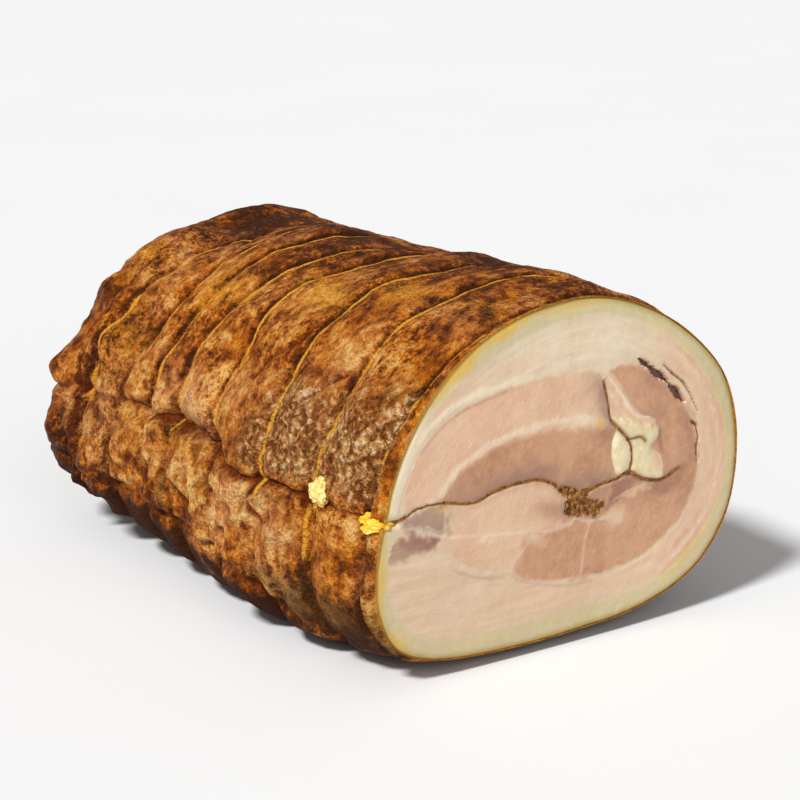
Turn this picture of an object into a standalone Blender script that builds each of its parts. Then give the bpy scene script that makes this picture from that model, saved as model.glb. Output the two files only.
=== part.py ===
"""Rolled pork belly roast, cut at one end: rind and fat wrap, belly layer, lean, inner fat and herb filling.

The roll lies along X with its cut face at +X and the overlap of the belly, the seam, on the -Y side.
The layers that show on the cut face run through the roll and stop short of its closed rear end.
Sections are given in millimetres: y from the middle of the cut face, z from the face's lower edge.
"""
import math

import bmesh
import bpy
import numpy as np
from mathutils import Vector, noise

MM = 0.001
LENGTH = 274.0                    # cut face to rear end
FACE_X = 137.3                    # the cut face's plane
FACE_Y = 3.1                      # the face's middle, off the middle of the whole
FLOOR_DROP = 5.0                  # the underside lies this far below the face's lower edge
AXIS_Z = 62.0                     # height of the roll's axis above the face's lower edge
LAYER_DEPTH = 232.0               # how far the inner layers run behind the face
GAP = 0.3                         # between neighbouring pieces

# The cut face, from the upper lip of the seam over the top and round to the lower lip
FACE_OUTLINE = (
    (-85, 65), (-82, 76), (-74, 93), (-60, 111), (-40, 125.5), (-16, 133.5), (10, 135.3), (34, 130),
    (58, 117.5), (79.5, 98), (89, 76), (90, 52), (84, 31), (68, 13.5), (40, 3.2), (6, 0.2), (-32, 0),
    (-62, 3), (-80, 11), (-88.5, 27), (-89.5, 42), (-87, 58))

# How the roll swells behind the face: shares of its length, then the scale of each side
SWELL_AT = (0.0, 0.12, 0.3, 0.5, 0.7, 0.9, 1.0)
SWELL_LEFT = (1.0, 1.05, 1.09, 1.05, 1.045, 1.12, 1.13)
SWELL_RIGHT = (1.0, 1.025, 1.03, 1.02, 1.0, 0.98, 0.96)
SWELL_TOP = (1.0, 1.05, 1.03, 0.99, 0.985, 0.985, 0.98)
SWELL_UNDER = (1.0, 1.09, 1.115, 1.105, 1.04, 0.85, 0.80)
END_SHARE = 0.14                  # the last part of the length, where the roll rounds in
END_SCALE = 0.58                  # size of the rear end's flat part
END_POWER = 2.2                   # how full the rounding is
END_STEPS = ((0.68, 0.8), (0.36, -0.6))    # rings of the flat part: size, mm forwards

# Marks of the cooking strings: mm behind the face, low on the left, at the seam, at the shoulder, on top
STRING_MARKS = (
    (8, 11, 4.5, -2), (35, 48, 39, 33), (71, 82, 78, 71), (104, 121, 121, 112),
    (142, 160, 147, 129), (172, 176, 170, 155), (203, 198, 191, 182), (229, 227, 215, 205))
STRING_ANGLES = (-90.0, -150.0, 180.0, 135.0, 90.0, 0.0)
MARK_DEPTHS = (3.0, 5.5, 5.5, 2.6, 1.6, 2.2)      # at the string angles
PILLOW_POWER = 3.2                # how square the flesh swells between two strings
PILLOW_RISE = 0.24                # share of the depth by which it stands out
FIRST_EDGE = -28.0                # where the swelling before the first string starts, behind the face
LAST_EDGES = (34.0, 70.0)         # the rear swellings' ends, behind the last string
FACE_FADE = 5.0                   # the relief grows over this distance behind the face

# The seam on the left: its place on the face's outline, then mm behind the face, height, depth and half width
SEAM_SPOT = (-86.2, 61.5)
SEAM_AT = (0.0, 40.0, 75.0, 104.0, 116.0, 150.0, 165.0, 200.0, 274.0)
SEAM_HEIGHT = (61.5, 62.0, 61.0, 60.0, 66.0, 68.0, 67.0, 66.0, 66.0)
SEAM_DEPTH = (2.0, 5.5, 6.0, 6.5, 8.0, 8.0, 6.5, 6.5, 5.0)
SEAM_WIDTH = (3.0, 4.0, 4.0, 4.5, 6.5, 6.0, 4.5, 4.5, 5.0)

# Lumps of the surface: mm behind the face, angle round the roll, height, half length, half width
LUMPS = (
    (246, 172, 6.0, 9, 9), (90, -157, 4.5, 15, 13), (62, -163, 3.0, 11, 10), (131, 168, 3.5, 16, 8),
    (172, 98, 3.5, 26, 34), (192, 150, -3.0, 14, 16), (232, 118, 4.0, 15, 18), (214, -160, 4.0, 12, 14),
    (262, -130, 4.5, 12, 20), (250, 60, 3.0, 18, 24), (150, 20, 2.5, 26, 30), (96, -30, 2.0, 24, 30),
    (22, 158, 2.5, 10, 18), (122, 75, -2.0, 18, 26), (256, 20, -3.0, 12, 16), (214, 103, -5.0, 32, 26),
    (258, 158, -5.0, 14, 13), (264, 178, -3.5, 10, 8))
DEEPEST = 7.0                     # of all dents together, short of the layers inside
LUMPINESS = 1.3                   # of the uneven surface, over waves of about LUMP_WAVE
LUMP_WAVE = 21.0

RINGS = 46                        # along the straight part
END_RINGS = 9                     # round the rear end
SEAM_SIDE = 19.0                  # how far on each side of the seam its points lie closer together
SEAM_SIDE_POINTS = 15             # round the roll, close to the seam
OTHER_POINTS = 47                 # round the rest of the roll
OUTLINE_STEPS = 16                # between two points of the face's outline, before they are spaced out
LAYER_STEPS = 3                   # between two points of a layer's outline
POCKET_STEPS = 2

# Inner edge of the outer fat
FAT_INNER = (
    (-80, 66.5), (-78.4, 77), (-71, 91.5), (-60, 104), (-47, 113), (-30, 120.5), (-10, 126.5), (10, 128.8),
    (30, 124.5), (50, 115), (68, 99), (79, 82), (83.5, 64), (81, 44), (71, 28.5), (54, 16), (32, 11.5),
    (0, 10), (-38, 9.5), (-62, 11.5), (-77, 20), (-84, 34), (-84.3, 46), (-80.4, 58))
# The herb filling: the seam's own line, its branch between the fat folds, and the pocket
HERB_LINE = (
    (-80.8, 61.1), (-76.5, 62.6), (-70, 64.9), (-60, 65.2), (-50, 63), (-43, 62.5), (-35, 65), (-24, 66.4),
    (-14, 66.1), (-6, 63), (0, 57.5), (8, 56), (16, 58.4), (25, 59.5), (31, 61.8), (37, 58.6), (44, 56),
    (51, 55.8), (59, 58.6))
HERB_BRANCH = (
    (31.4, 61), (33.2, 67), (32, 73.5), (27, 79.5), (22.2, 84.5), (20.8, 91), (18, 101))
HERB_POCKET = (
    (-3, 61), (0.3, 56), (0, 50.5), (4.5, 48), (10, 48.2), (14.5, 46.4), (19, 48.6), (19.4, 51.8), (12, 53.4),
    (10.5, 56), (13, 58.6), (7, 58), (2, 60.4))
SEAM_HALVES = HERB_LINE[2:14]     # where the upper and the lower lean meet across the herb line
# Upper lean, from the seam over its rounded back to the inner fat, and back along the seam
UPPER_LEAN = (
    (-77.8, 65.2), (-75.8, 77), (-69, 89), (-56, 98.5), (-40, 103.8), (-20, 106.6), (2, 107.4), (14, 105.4),
    (18, 101), (20.8, 91), (22.2, 84.5), (27, 78.5), (28.5, 72), (28.5, 64)) + SEAM_HALVES[::-1]
# Lower lean: the muscles under the seam, and the band that curls up on the right
LOWER_LEAN = ((-78.2, 60.2),) + SEAM_HALVES + (
    (32, 61.4), (40, 62), (41, 74), (30, 84), (23.5, 94), (20.5, 104.6), (34, 105.6),
    (48, 97.5), (60, 86), (67, 73), (69.3, 58), (64, 42), (52, 31), (36, 24), (18, 21), (-2, 22.5),
    (-20, 26), (-30, 32), (-44, 34.5), (-56, 43), (-66, 47), (-76, 48.5), (-80, 53))
# Cream fat curled inside the lean, on both sides of the herb branch
FAT_FOLD = (
    (17.2, 103.5), (21, 103.8), (27, 97), (33, 88.8), (39, 83.6), (45.4, 80.5), (46.6, 74.5), (43.5, 70),
    (48.8, 64.5), (49.5, 56), (44, 56), (37, 58.6), (32.6, 61), (33.2, 67), (32, 73.5), (27, 79.5),
    (22.2, 84.5), (20.8, 91), (18.6, 98))
FAT_LOBE = (
    (26.4, 80), (32, 73.5), (33.2, 67), (31, 61.8), (27.4, 60.4), (24.6, 64), (23, 71), (23.6, 77))
HERB_THICKNESS = 1.5
BRANCH_THICKNESS = 1.0
ROOM_REACH = (40.0, 0.6)          # how far the line's room is cut on, out through the rind, and down
ROOM_START = -5.0                 # rooms are cut from in front of the face
POCKET_ROOM = 1.7                 # the pocket's room keeps clear of its sharp corners

# Beads of rendered fat on the seam: mm behind the face, y, z, then their half sizes
FAT_BEADS = {
    "seam_fat_front": ((7.8, -86.2, 60.8), (7.2, 4.6, 4.4)),
    "seam_fat_middle": ((38.0, -89.8, 66.0), (4.6, 4.6, 5.6)),
}
BEAD_UNEVENNESS = 0.22            # share of its size
BEAD_WAVES = 1.7                  # to its radius
BEAD_SHIFT = 40                   # reads each bead's unevenness at a spot of its own
BEAD_ROOM = 1.4                   # gaps round a bead

COLOURS = {
    "rind_and_fat": (0.25, 0.10, 0.035),
    "belly_layer": (0.74, 0.56, 0.43),
    "lean_upper": (0.63, 0.37, 0.27),
    "lean_lower": (0.58, 0.32, 0.22),
    "fat_inner": (0.79, 0.69, 0.49),
    "herbs": (0.24, 0.11, 0.02),
    "fat_beads": (0.78, 0.48, 0.10),
}


def clear_scene():
    """Removes whatever the scene holds."""
    for thing in list(bpy.data.objects):
        bpy.data.objects.remove(thing, do_unlink=True)


def make_material(name, roughness=0.45):
    """A plain finish in the colour that the list gives the name."""
    made = bpy.data.materials.new(name)
    made.use_nodes = True
    shader = made.node_tree.nodes["Principled BSDF"]
    shader.inputs["Base Color"].default_value = (*COLOURS[name], 1.0)
    shader.inputs["Roughness"].default_value = roughness
    return made


def place(behind, y, z):
    """A point of the part, in metres, from millimetres behind, across and above the cut face's lower edge."""
    return Vector(((FACE_X - behind) * MM, (FACE_Y + y) * MM, (FLOOR_DROP + z) * MM))


def smooth_curve(points, steps, closed):
    """Points on a Catmull-Rom curve through the given ones, with some steps between each two."""
    knots = [np.array(p, float) for p in points]
    count = len(knots)
    spans = count if closed else count - 1
    curve = []
    for i in range(spans):
        if closed:
            a, b, c, d = (knots[(i + k) % count] for k in (-1, 0, 1, 2))
        else:
            a, b, c, d = (knots[min(max(i + k, 0), count - 1)] for k in (-1, 0, 1, 2))
        for k in range(steps):
            t = k / steps
            curve.append(0.5 * (2 * b + (c - a) * t + (2 * a - 5 * b + 4 * c - d) * t * t
                                + (3 * b - a - 3 * c + d) * t ** 3))
    if not closed:
        curve.append(knots[-1])
    return np.array(curve)


def offset_outline(curve, distance):
    """The closed outline grown outwards, along the normals at its points."""
    tangent = np.roll(curve, -1, axis=0) - np.roll(curve, 1, axis=0)
    area = np.sum(curve[:, 0] * np.roll(curve[:, 1], -1) - curve[:, 1] * np.roll(curve[:, 0], -1))
    normal = np.stack([tangent[:, 1], -tangent[:, 0]], 1) * math.copysign(1.0, area)
    return curve + distance * normal / np.linalg.norm(normal, axis=1, keepdims=True)


def strip_outline(curve, thickness):
    """The outline of a strip of even thickness along an open curve, rounded off at its ends."""
    tangent = np.gradient(curve, axis=0)
    tangent /= np.linalg.norm(tangent, axis=1, keepdims=True)
    normal = np.stack([-tangent[:, 1], tangent[:, 0]], 1) * thickness / 2
    start = curve[0] - tangent[0] * thickness / 2
    end = curve[-1] + tangent[-1] * thickness / 2
    return np.concatenate([curve + normal, [end], (curve - normal)[::-1], [start]])


def round_wave(angle):
    """The first waves round the roll, for values that pass smoothly from one side to the next."""
    a = np.radians(angle)
    return np.stack([np.ones_like(a), np.cos(a), np.sin(a), np.cos(2 * a), np.sin(2 * a)], -1)


def round_the_roll(values, angle):
    """Values given at the string angles, read at any angle round the roll."""
    weights = np.linalg.lstsq(round_wave(np.array(STRING_ANGLES)), np.array(values, float), rcond=None)[0]
    return round_wave(angle) @ weights


def mark_places(angle):
    """How far behind the face each string mark lies, at one angle."""
    places = []
    for low, seam, shoulder, top in STRING_MARKS:
        places.append(float(round_the_roll((low, low, seam, shoulder, top, (low + top) / 2), angle)))
    return places


def string_relief(behind, angle, places):
    """Swelling between the string marks and dents at them, in mm outwards."""
    edges = [FIRST_EDGE] + places + [places[-1] + past for past in LAST_EDGES]
    for near, far in zip(edges, edges[1:]):
        if near <= behind <= far:
            share = abs(2 * (behind - near) / (far - near) - 1)
            depth = float(round_the_roll(MARK_DEPTHS, angle))
            return depth * (PILLOW_RISE - share ** PILLOW_POWER)
    return 0.0


def seam_relief(behind, y, z):
    """The dent of the seam, in mm outwards."""
    if y > 0:
        return 0.0
    height = np.interp(behind, SEAM_AT, SEAM_HEIGHT)
    depth = np.interp(behind, SEAM_AT, SEAM_DEPTH)
    width = np.interp(behind, SEAM_AT, SEAM_WIDTH)
    return -float(depth * math.exp(-((z - height) / width) ** 2))


def lump_relief(behind, angle, radius):
    """Single lumps and hollows of the surface and its general unevenness, in mm outwards."""
    total = 0.0
    for at, lump_angle, height, half_length, half_width in LUMPS:
        turn = (angle - lump_angle + 180) % 360 - 180
        along = (behind - at) / half_length
        across = math.radians(turn) * radius / half_width
        total += height * math.exp(-(along ** 2 + across ** 2))
    a = math.radians(angle)
    spot = Vector((behind, radius * math.cos(a), radius * math.sin(a))) / LUMP_WAVE
    return total + 2 * LUMPINESS * noise.noise(spot)


def roll_section(share, section):
    """The section at a share of the length, swollen as the roll is there, without relief."""
    left = np.interp(share, SWELL_AT, SWELL_LEFT)
    right = np.interp(share, SWELL_AT, SWELL_RIGHT)
    top = np.interp(share, SWELL_AT, SWELL_TOP)
    under = np.interp(share, SWELL_AT, SWELL_UNDER)
    u = min(max((share - 1 + END_SHARE) / END_SHARE, 0.0), 1.0)
    size = END_SCALE + (1 - END_SCALE) * math.sqrt(max(1 - u ** END_POWER, 0.0))
    y = section[:, 0] * np.where(section[:, 0] < 0, left, right) * size
    z = (section[:, 1] - AXIS_Z) * np.where(section[:, 1] > AXIS_Z, top, under) * size
    return y, z


def outline_points():
    """Points of the face's outline, closer together near the seam."""
    curve = smooth_curve(FACE_OUTLINE, OUTLINE_STEPS, True)
    closed = np.concatenate([curve, curve[:1]])
    run = np.concatenate([[0], np.cumsum(np.linalg.norm(np.diff(closed, axis=0), axis=1))])
    total = run[-1]
    off = closed - np.array(SEAM_SPOT)
    seam = run[int(np.argmin(np.hypot(off[:, 0], off[:, 1])))]
    close = np.linspace(-SEAM_SIDE, SEAM_SIDE, SEAM_SIDE_POINTS)
    other = np.linspace(SEAM_SIDE, total - SEAM_SIDE, OTHER_POINTS + 2)[1:-1]
    at = (seam + np.concatenate([close, other])) % total
    return np.stack([np.interp(at, run, closed[:, 0]), np.interp(at, run, closed[:, 1])], 1)


def roll_rings():
    """Rings of points along the roll, each at its distance behind the face."""
    section = outline_points()
    angles = np.degrees(np.arctan2(section[:, 1] - AXIS_Z, section[:, 0]))
    marks = [mark_places(a) for a in angles]
    straight = np.linspace(0, 1 - END_SHARE, RINGS, endpoint=False)
    turn = np.linspace(0, math.pi / 2, END_RINGS)
    rounded = 1 - END_SHARE + END_SHARE * np.sin(turn)
    rings = []
    for share in np.concatenate([straight, rounded]):
        behind = share * LENGTH
        fade = min(behind / FACE_FADE, 1.0)
        ys, zs = roll_section(share, section)
        ring = []
        for y, z, angle, places in zip(ys, zs, angles, marks):
            radius = math.hypot(y, z)
            relief = string_relief(behind, angle, places) + lump_relief(behind, angle, radius)
            relief += seam_relief(behind, y, z + AXIS_Z)
            scale = 1 + fade * max(relief, -DEEPEST) / radius
            ring.append(place(behind, y * scale, max(AXIS_Z + z * scale, -FLOOR_DROP)))
        rings.append(ring)
    return rings


def add_object(name, mesh, material=None):
    """Puts a mesh in the scene as an object, with its material."""
    made = bpy.data.objects.new(name, mesh)
    bpy.context.scene.collection.objects.link(made)
    if material is not None:
        mesh.materials.append(material)
    return made


def roll_mesh():
    """The whole roll as one closed body, before its layers are cut from it."""
    work = bmesh.new()
    rings = [[work.verts.new(p) for p in ring] for ring in roll_rings()]
    last = rings[-1]
    middle = sum((v.co for v in last), Vector()) / len(last)
    for scale, forward in END_STEPS:
        ring = [work.verts.new(middle + (v.co - middle) * scale + Vector((forward * MM, 0, 0))) for v in last]
        rings.append(ring)
    count = len(last)
    for front, back in zip(rings, rings[1:]):
        for i in range(count):
            k = (i + 1) % count
            work.faces.new((front[i], front[k], back[k], back[i]))
    tip = work.verts.new(middle)
    for i in range(count):
        work.faces.new((rings[-1][i], rings[-1][(i + 1) % count], tip))
    work.faces.new(rings[0])
    bmesh.ops.recalc_face_normals(work, faces=work.faces)
    mesh = bpy.data.meshes.new("roll")
    work.to_mesh(mesh)
    work.free()
    return mesh


def prism_mesh(outline, front, back):
    """A straight bar with the given section, between two distances behind the face."""
    work = bmesh.new()
    near = [work.verts.new(place(front, y, z)) for y, z in outline]
    far = [work.verts.new(place(back, y, z)) for y, z in outline]
    count = len(near)
    for i in range(count):
        k = (i + 1) % count
        work.faces.new((near[i], near[k], far[k], far[i]))
    work.faces.new(near)
    work.faces.new(far)
    bmesh.ops.recalc_face_normals(work, faces=work.faces)
    mesh = bpy.data.meshes.new("bar")
    work.to_mesh(mesh)
    work.free()
    return mesh


def layer(name, outline, material):
    """A layer of the roll, flush with the cut face."""
    return add_object(name, prism_mesh(outline, 0.0, LAYER_DEPTH), material)


def cutter(name, outline):
    """The room that a layer takes out of its neighbours, with the gap all round it."""
    made = add_object(name, prism_mesh(outline, ROOM_START, LAYER_DEPTH + GAP))
    hide_guide(made)
    return made


def hide_guide(guide):
    """Marks an object as a guide that isn't part of the roast."""
    guide.hide_render = True
    guide.display_type = "WIRE"


def combine(target, other, operation):
    """Adds a Boolean of the other object to the target."""
    change = target.modifiers.new(other.name, "BOOLEAN")
    change.operation = operation
    change.object = other
    change.solver = "EXACT"


def cut_by(target, *cutters):
    """Cuts the target by each of the cutters."""
    for other in cutters:
        combine(target, other, "DIFFERENCE")


def bead_mesh(centre, half_sizes):
    """A small lump of fat with an uneven surface."""
    work = bmesh.new()
    bmesh.ops.create_icosphere(work, subdivisions=2, radius=1.0)
    middle = place(*centre)
    for vert in work.verts:
        bump = 1 + BEAD_UNEVENNESS * noise.noise(vert.co * BEAD_WAVES + middle * BEAD_SHIFT)
        vert.co = middle + Vector([c * h * MM * bump for c, h in zip(vert.co, half_sizes)])
    mesh = bpy.data.meshes.new("bead")
    work.to_mesh(mesh)
    work.free()
    return mesh


def herb_strips(thicker, reaches_out=False):
    """Outlines of the filling's line, branch and pocket, thicker by a margin on each side."""
    line = smooth_curve(HERB_LINE, LAYER_STEPS, False)
    if reaches_out:
        line = np.concatenate([[line[0] - np.array(ROOM_REACH)], line])
    branch = smooth_curve(HERB_BRANCH, LAYER_STEPS, False)
    pocket = smooth_curve(HERB_POCKET, POCKET_STEPS, True)
    return (strip_outline(line, HERB_THICKNESS + 2 * thicker),
            strip_outline(branch, BRANCH_THICKNESS + 2 * thicker),
            offset_outline(pocket, POCKET_ROOM * thicker))


def build_herbs(material):
    """The herb filling, one body of line, branch and pocket, and the cutters for its room."""
    line, branch, pocket = herb_strips(0.0)
    herbs = layer("herb_filling", line, material)
    for name, outline in (("branch_guide", branch), ("pocket_guide", pocket)):
        guide = add_object(name, prism_mesh(outline, 0.0, LAYER_DEPTH))
        hide_guide(guide)
        combine(herbs, guide, "UNION")
    rooms = []
    for name, outline in zip(("line_room", "branch_room", "pocket_room"), herb_strips(GAP, reaches_out=True)):
        rooms.append(cutter(name, outline))
    return rooms


def build_layers():
    """All that shows on the cut face inside the outer fat."""
    herb_rooms = build_herbs(make_material("herbs", 0.7))
    cream = make_material("fat_inner", 0.4)
    rooms = list(herb_rooms)
    for name, points in (("inner_fat_fold", FAT_FOLD), ("inner_fat_lobe", FAT_LOBE)):
        outline = smooth_curve(points, LAYER_STEPS, True)
        cut_by(layer(name, outline, cream), *herb_rooms)
        rooms.append(cutter(name + "_room", offset_outline(outline, GAP)))
    fat_rooms = list(rooms)
    leans = (("upper_lean", UPPER_LEAN, "lean_upper"), ("lower_lean", LOWER_LEAN, "lean_lower"))
    for name, points, finish in leans:
        outline = smooth_curve(points, LAYER_STEPS, True)
        cut_by(layer(name, outline, make_material(finish)), *fat_rooms)
        rooms.append(cutter(name + "_room", offset_outline(outline, GAP)))
    inner = smooth_curve(FAT_INNER, LAYER_STEPS, True)
    cut_by(layer("belly_layer", inner, make_material("belly_layer")), *rooms)
    return [cutter("core_room", offset_outline(inner, GAP)), herb_rooms[0]]


def build_beads():
    """The beads of fat on the seam, and the hollows that they sit in."""
    yellow = make_material("fat_beads", 0.3)
    hollows = []
    for name, (centre, half_sizes) in FAT_BEADS.items():
        add_object(name, bead_mesh(centre, half_sizes), yellow)
        hollow = add_object(name + "_hollow", bead_mesh(centre, [h + GAP * BEAD_ROOM for h in half_sizes]))
        hide_guide(hollow)
        hollows.append(hollow)
    return hollows


def build_roast():
    """The wrap of rind and outer fat, with the room of all other pieces cut from it."""
    clear_scene()
    rooms = build_layers() + build_beads()
    wrap = add_object("belly_wrap", roll_mesh(), make_material("rind_and_fat", 0.35))
    cut_by(wrap, *rooms)


build_roast()
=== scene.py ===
"""Looks of the rolled pork belly roast: browned rind with string marks, and the cut face with its layers.

Sections are in millimetres: y from the middle of the cut face, z from the face's lower edge, and
"behind" is the distance behind the cut face. place() turns them into the frame's metres.
"""
import math

import bpy
import numpy as np
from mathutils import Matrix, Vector, noise


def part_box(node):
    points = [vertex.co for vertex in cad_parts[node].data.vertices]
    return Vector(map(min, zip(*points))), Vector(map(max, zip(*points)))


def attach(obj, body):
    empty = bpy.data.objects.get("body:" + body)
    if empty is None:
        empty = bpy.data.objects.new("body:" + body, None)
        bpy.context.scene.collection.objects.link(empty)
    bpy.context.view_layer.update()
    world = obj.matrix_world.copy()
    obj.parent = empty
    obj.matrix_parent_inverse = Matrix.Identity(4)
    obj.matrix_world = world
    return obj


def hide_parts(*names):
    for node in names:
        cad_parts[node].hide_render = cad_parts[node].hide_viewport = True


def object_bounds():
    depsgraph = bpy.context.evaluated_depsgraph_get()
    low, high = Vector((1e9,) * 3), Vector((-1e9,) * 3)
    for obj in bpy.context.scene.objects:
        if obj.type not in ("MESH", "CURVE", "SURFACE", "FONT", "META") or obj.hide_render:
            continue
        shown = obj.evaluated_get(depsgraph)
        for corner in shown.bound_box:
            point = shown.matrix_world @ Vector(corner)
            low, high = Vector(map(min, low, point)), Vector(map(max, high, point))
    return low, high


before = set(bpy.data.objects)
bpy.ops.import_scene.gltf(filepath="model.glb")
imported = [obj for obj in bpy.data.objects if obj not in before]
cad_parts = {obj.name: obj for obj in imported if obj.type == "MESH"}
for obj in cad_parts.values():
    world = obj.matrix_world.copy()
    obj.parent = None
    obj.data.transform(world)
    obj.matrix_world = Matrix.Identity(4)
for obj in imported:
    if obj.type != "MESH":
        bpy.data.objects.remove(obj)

CAD_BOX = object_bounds()

MM = 0.001
LENGTH = 274.0                    # cut face to rear end
FACE_X = CAD_BOX[1].x / MM        # the cut face's plane
FACE_Y = 3.1                      # the face's middle, off the middle of the whole
FLOOR_DROP = 5.0                  # the underside lies this far below the face's lower edge
AXIS_Z = 62.0                     # height of the roll's axis above the face's lower edge
LAYER_DEPTH = FACE_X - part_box("belly_layer")[0].x / MM

# The roll's form, as in the solids
FACE_OUTLINE = (
    (-85, 65), (-82, 76), (-74, 93), (-60, 111), (-40, 125.5), (-16, 133.5), (10, 135.3), (34, 130),
    (58, 117.5), (79.5, 98), (89, 76), (90, 52), (84, 31), (68, 13.5), (40, 3.2), (6, 0.2), (-32, 0),
    (-62, 3), (-80, 11), (-88.5, 27), (-89.5, 42), (-87, 58))
SWELL_AT = (0.0, 0.12, 0.3, 0.5, 0.7, 0.9, 1.0)
SWELL_LEFT = (1.0, 1.05, 1.09, 1.05, 1.045, 1.12, 1.13)
SWELL_RIGHT = (1.0, 1.025, 1.03, 1.02, 1.0, 0.98, 0.96)
SWELL_TOP = (1.0, 1.05, 1.03, 0.99, 0.985, 0.985, 0.98)
SWELL_UNDER = (1.0, 1.09, 1.115, 1.105, 1.04, 0.85, 0.80)
END_SHARE = 0.14
END_SCALE = 0.58

# String marks: how far behind the face each lies underneath, at the seam, on the shoulder and on top
STRING_MARKS = (
    (8, 11, 4.5, -2), (35, 48, 39, 33), (71, 82, 78, 71), (104, 121, 121, 112), (142, 160, 147, 129),
    (172, 176, 170, 155), (203, 198, 191, 182), (229, 227, 215, 205))
STRING_ANGLES = (-90.0, -150.0, 180.0, 135.0, 90.0, 0.0)
MARK_DEPTHS = (3.0, 5.5, 5.5, 2.6, 1.6, 2.2)
PILLOW_POWER = 3.2
PILLOW_LEVEL = 0.24               # the share of the depth by which the flesh between two marks stands out
FIRST_MARK_LEAST = 1.2            # the first mark stays at least this far behind the face
NEAR_MARKS = 3                    # the marks nearest to the face have wider ridges
RIDGE_HEIGHT = 0.75
RIDGE_WIDTH = 0.85
RIDGE_WIDTH_NEAR = 1.1
DENT_DEPTH = 0.72
DENT_OFFSET = 2.1
DENT_WIDTH = 1.3

# The seam and the fold under it: heights, depths and widths by the distance behind the face
SEAM_AT = (0.0, 40.0, 75.0, 104.0, 116.0, 150.0, 165.0, 200.0, 274.0)
SEAM_HEIGHT = (61.5, 62.0, 61.0, 60.0, 66.0, 68.0, 67.0, 66.0, 66.0)
SEAM_DEPTH = (2.0, 4.6, 5.2, 6.0, 10.0, 10.0, 5.6, 3.0, 2.0)
SEAM_WIDTH = (1.6, 2.3, 2.6, 2.9, 5.2, 5.0, 2.8, 2.4, 2.4)
SEAM_START = (-86.2, 61.5)
SEAM_ANGLE = 179.0
LIP_ABOVE = 5.5                   # the overlapping edge swells this far above the seam
LIP_WIDTH = 3.2
LIP_SHARE = 0.12
DROOP = 2.4                       # the edge hangs over the seam
LOW_FOLD_AT = (0.0, 30.0, 56.0, 76.0, 85.0, 128.0, 178.0, 205.0, 240.0, 274.0)
LOW_FOLD_HEIGHT = (4.0, 7.0, 11.0, 15.0, 23.0, 24.0, 27.5, 29.0, 33.0, 38.0)
TUCK_DEPTH = 3.4
TUCK_WIDTH = 2.6

# Lumps and hollows: mm behind the face, degrees round the roll, height, half length, half width
LUMPS = (
    (246, 172, 6, 9, 9), (90, -157, 4.5, 15, 13), (62, -163, 3, 11, 10), (131, 168, 3.5, 16, 8),
    (172, 98, 3.5, 26, 34), (192, 150, -3, 14, 16), (232, 118, 4, 15, 18), (214, -160, 4, 12, 14),
    (262, -130, 4.5, 12, 20), (250, 60, 3, 18, 24), (150, 20, 2.5, 26, 30), (96, -30, 2, 24, 30),
    (22, 158, 2.5, 10, 18), (122, 75, -2, 18, 26), (256, 20, -3, 12, 16), (214, 103, -5, 32, 26),
    (258, 158, -5, 14, 13), (264, 178, -3.5, 10, 8),
    (84, -169, 2.6, 11, 8), (119, -168, 3, 12, 9), (142, -171, 2.4, 9, 8), (60, -172, 2.2, 10, 8),
    (160, -166, 2.8, 9, 9), (184, -170, 3.2, 12, 9), (212, -168, 2.6, 10, 10), (236, -176, 2.8, 7, 14),
    (228, 176, -3, 8, 7), (247, -168, 3.6, 9, 14), (24, -163, 2, 12, 9), (196, 168, 2.6, 8, 12),
    (216, 160, 2.4, 9, 10), (232, 148, 2.6, 10, 12))
LUMPINESS = 2.6                   # broad unevenness over the whole rind
LUMP_WAVE = 21.0
DEEPEST = 11.0                    # no hollow goes deeper

# Cracks and folds in the skin: half width, then places as mm behind the face, y, z
CRACKS = (
    (1.7, (105, -76.5, 96.4), (96.7, -71.9, 106.6), (87.4, -66.3, 113.8), (85.6, -61.8, 117.6)),
    (1, (68, -83, 92), (63.9, -79.2, 96.2), (58.8, -76.5, 99.7), (54.6, -72.7, 103.2), (49.6, -69.6, 106.9)),
    (1.2, (46.8, -74.2, 99), (42.7, -66.8, 108), (41.6, -62.9, 111.6)),
    (1, (111, -69.6, 105.4), (123.4, -73.8, 96.4)),
    (1.3, (106, -96, 38), (97, -98, 35), (89.8, -100, 30.4)),
    (1.2, (83, -97, 52), (78, -97, 48), (71.5, -95.1, 46)),
    (1.2, (47, -93, 58), (40.6, -89, 53)),
    (1.4, (150, -93, 44), (136, -95, 38), (122, -97, 35)),
    (1.2, (176, -92, 50), (168, -93, 44), (160, -95, 36)),
    (1.3, (208, -97, 52), (214, -97, 44), (212, -96, 36)),
    (1.2, (232, -96, 62), (226, -97, 52), (230, -98, 44)),
    (0.8, (3.6, -34, 128), (2, -41.5, 124.7), (2.6, -59, 112), (6.4, -62, 107), (6.9, -65.5, 103.8),
     (4, -71, 98), (2.7, -75.3, 91.8)),
    (1.3, (62, 88, 92), (74, 92, 84), (80, 94, 72)),
    (1.2, (150, 84, 96), (158, 90, 84), (170, 90, 78)),
    (1.3, (196, -30, 126), (206, -16, 130), (210, -4, 131)),
    (1.2, (120, 40, 124), (132, 52, 118), (136, 60, 112)))
CRACK_DEPTH = 1.6
CRUMPLE_HEIGHT = 3.0
CURL_SPOT = (60.0, 54.0)          # loose skin lies in arcs round this spot under the seam
CURL_SPACING = 4.6
CURL_RADIUS = 9.0
CURL_REACH = 6.0
CURL_HEIGHT = 0.75
STRAP_PLACE = (43.0, 37.0)
STRAP_SLANT = 0.12
STRAP_WIDTH = 1.3
STRAP_HEIGHT = 1.0

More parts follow.
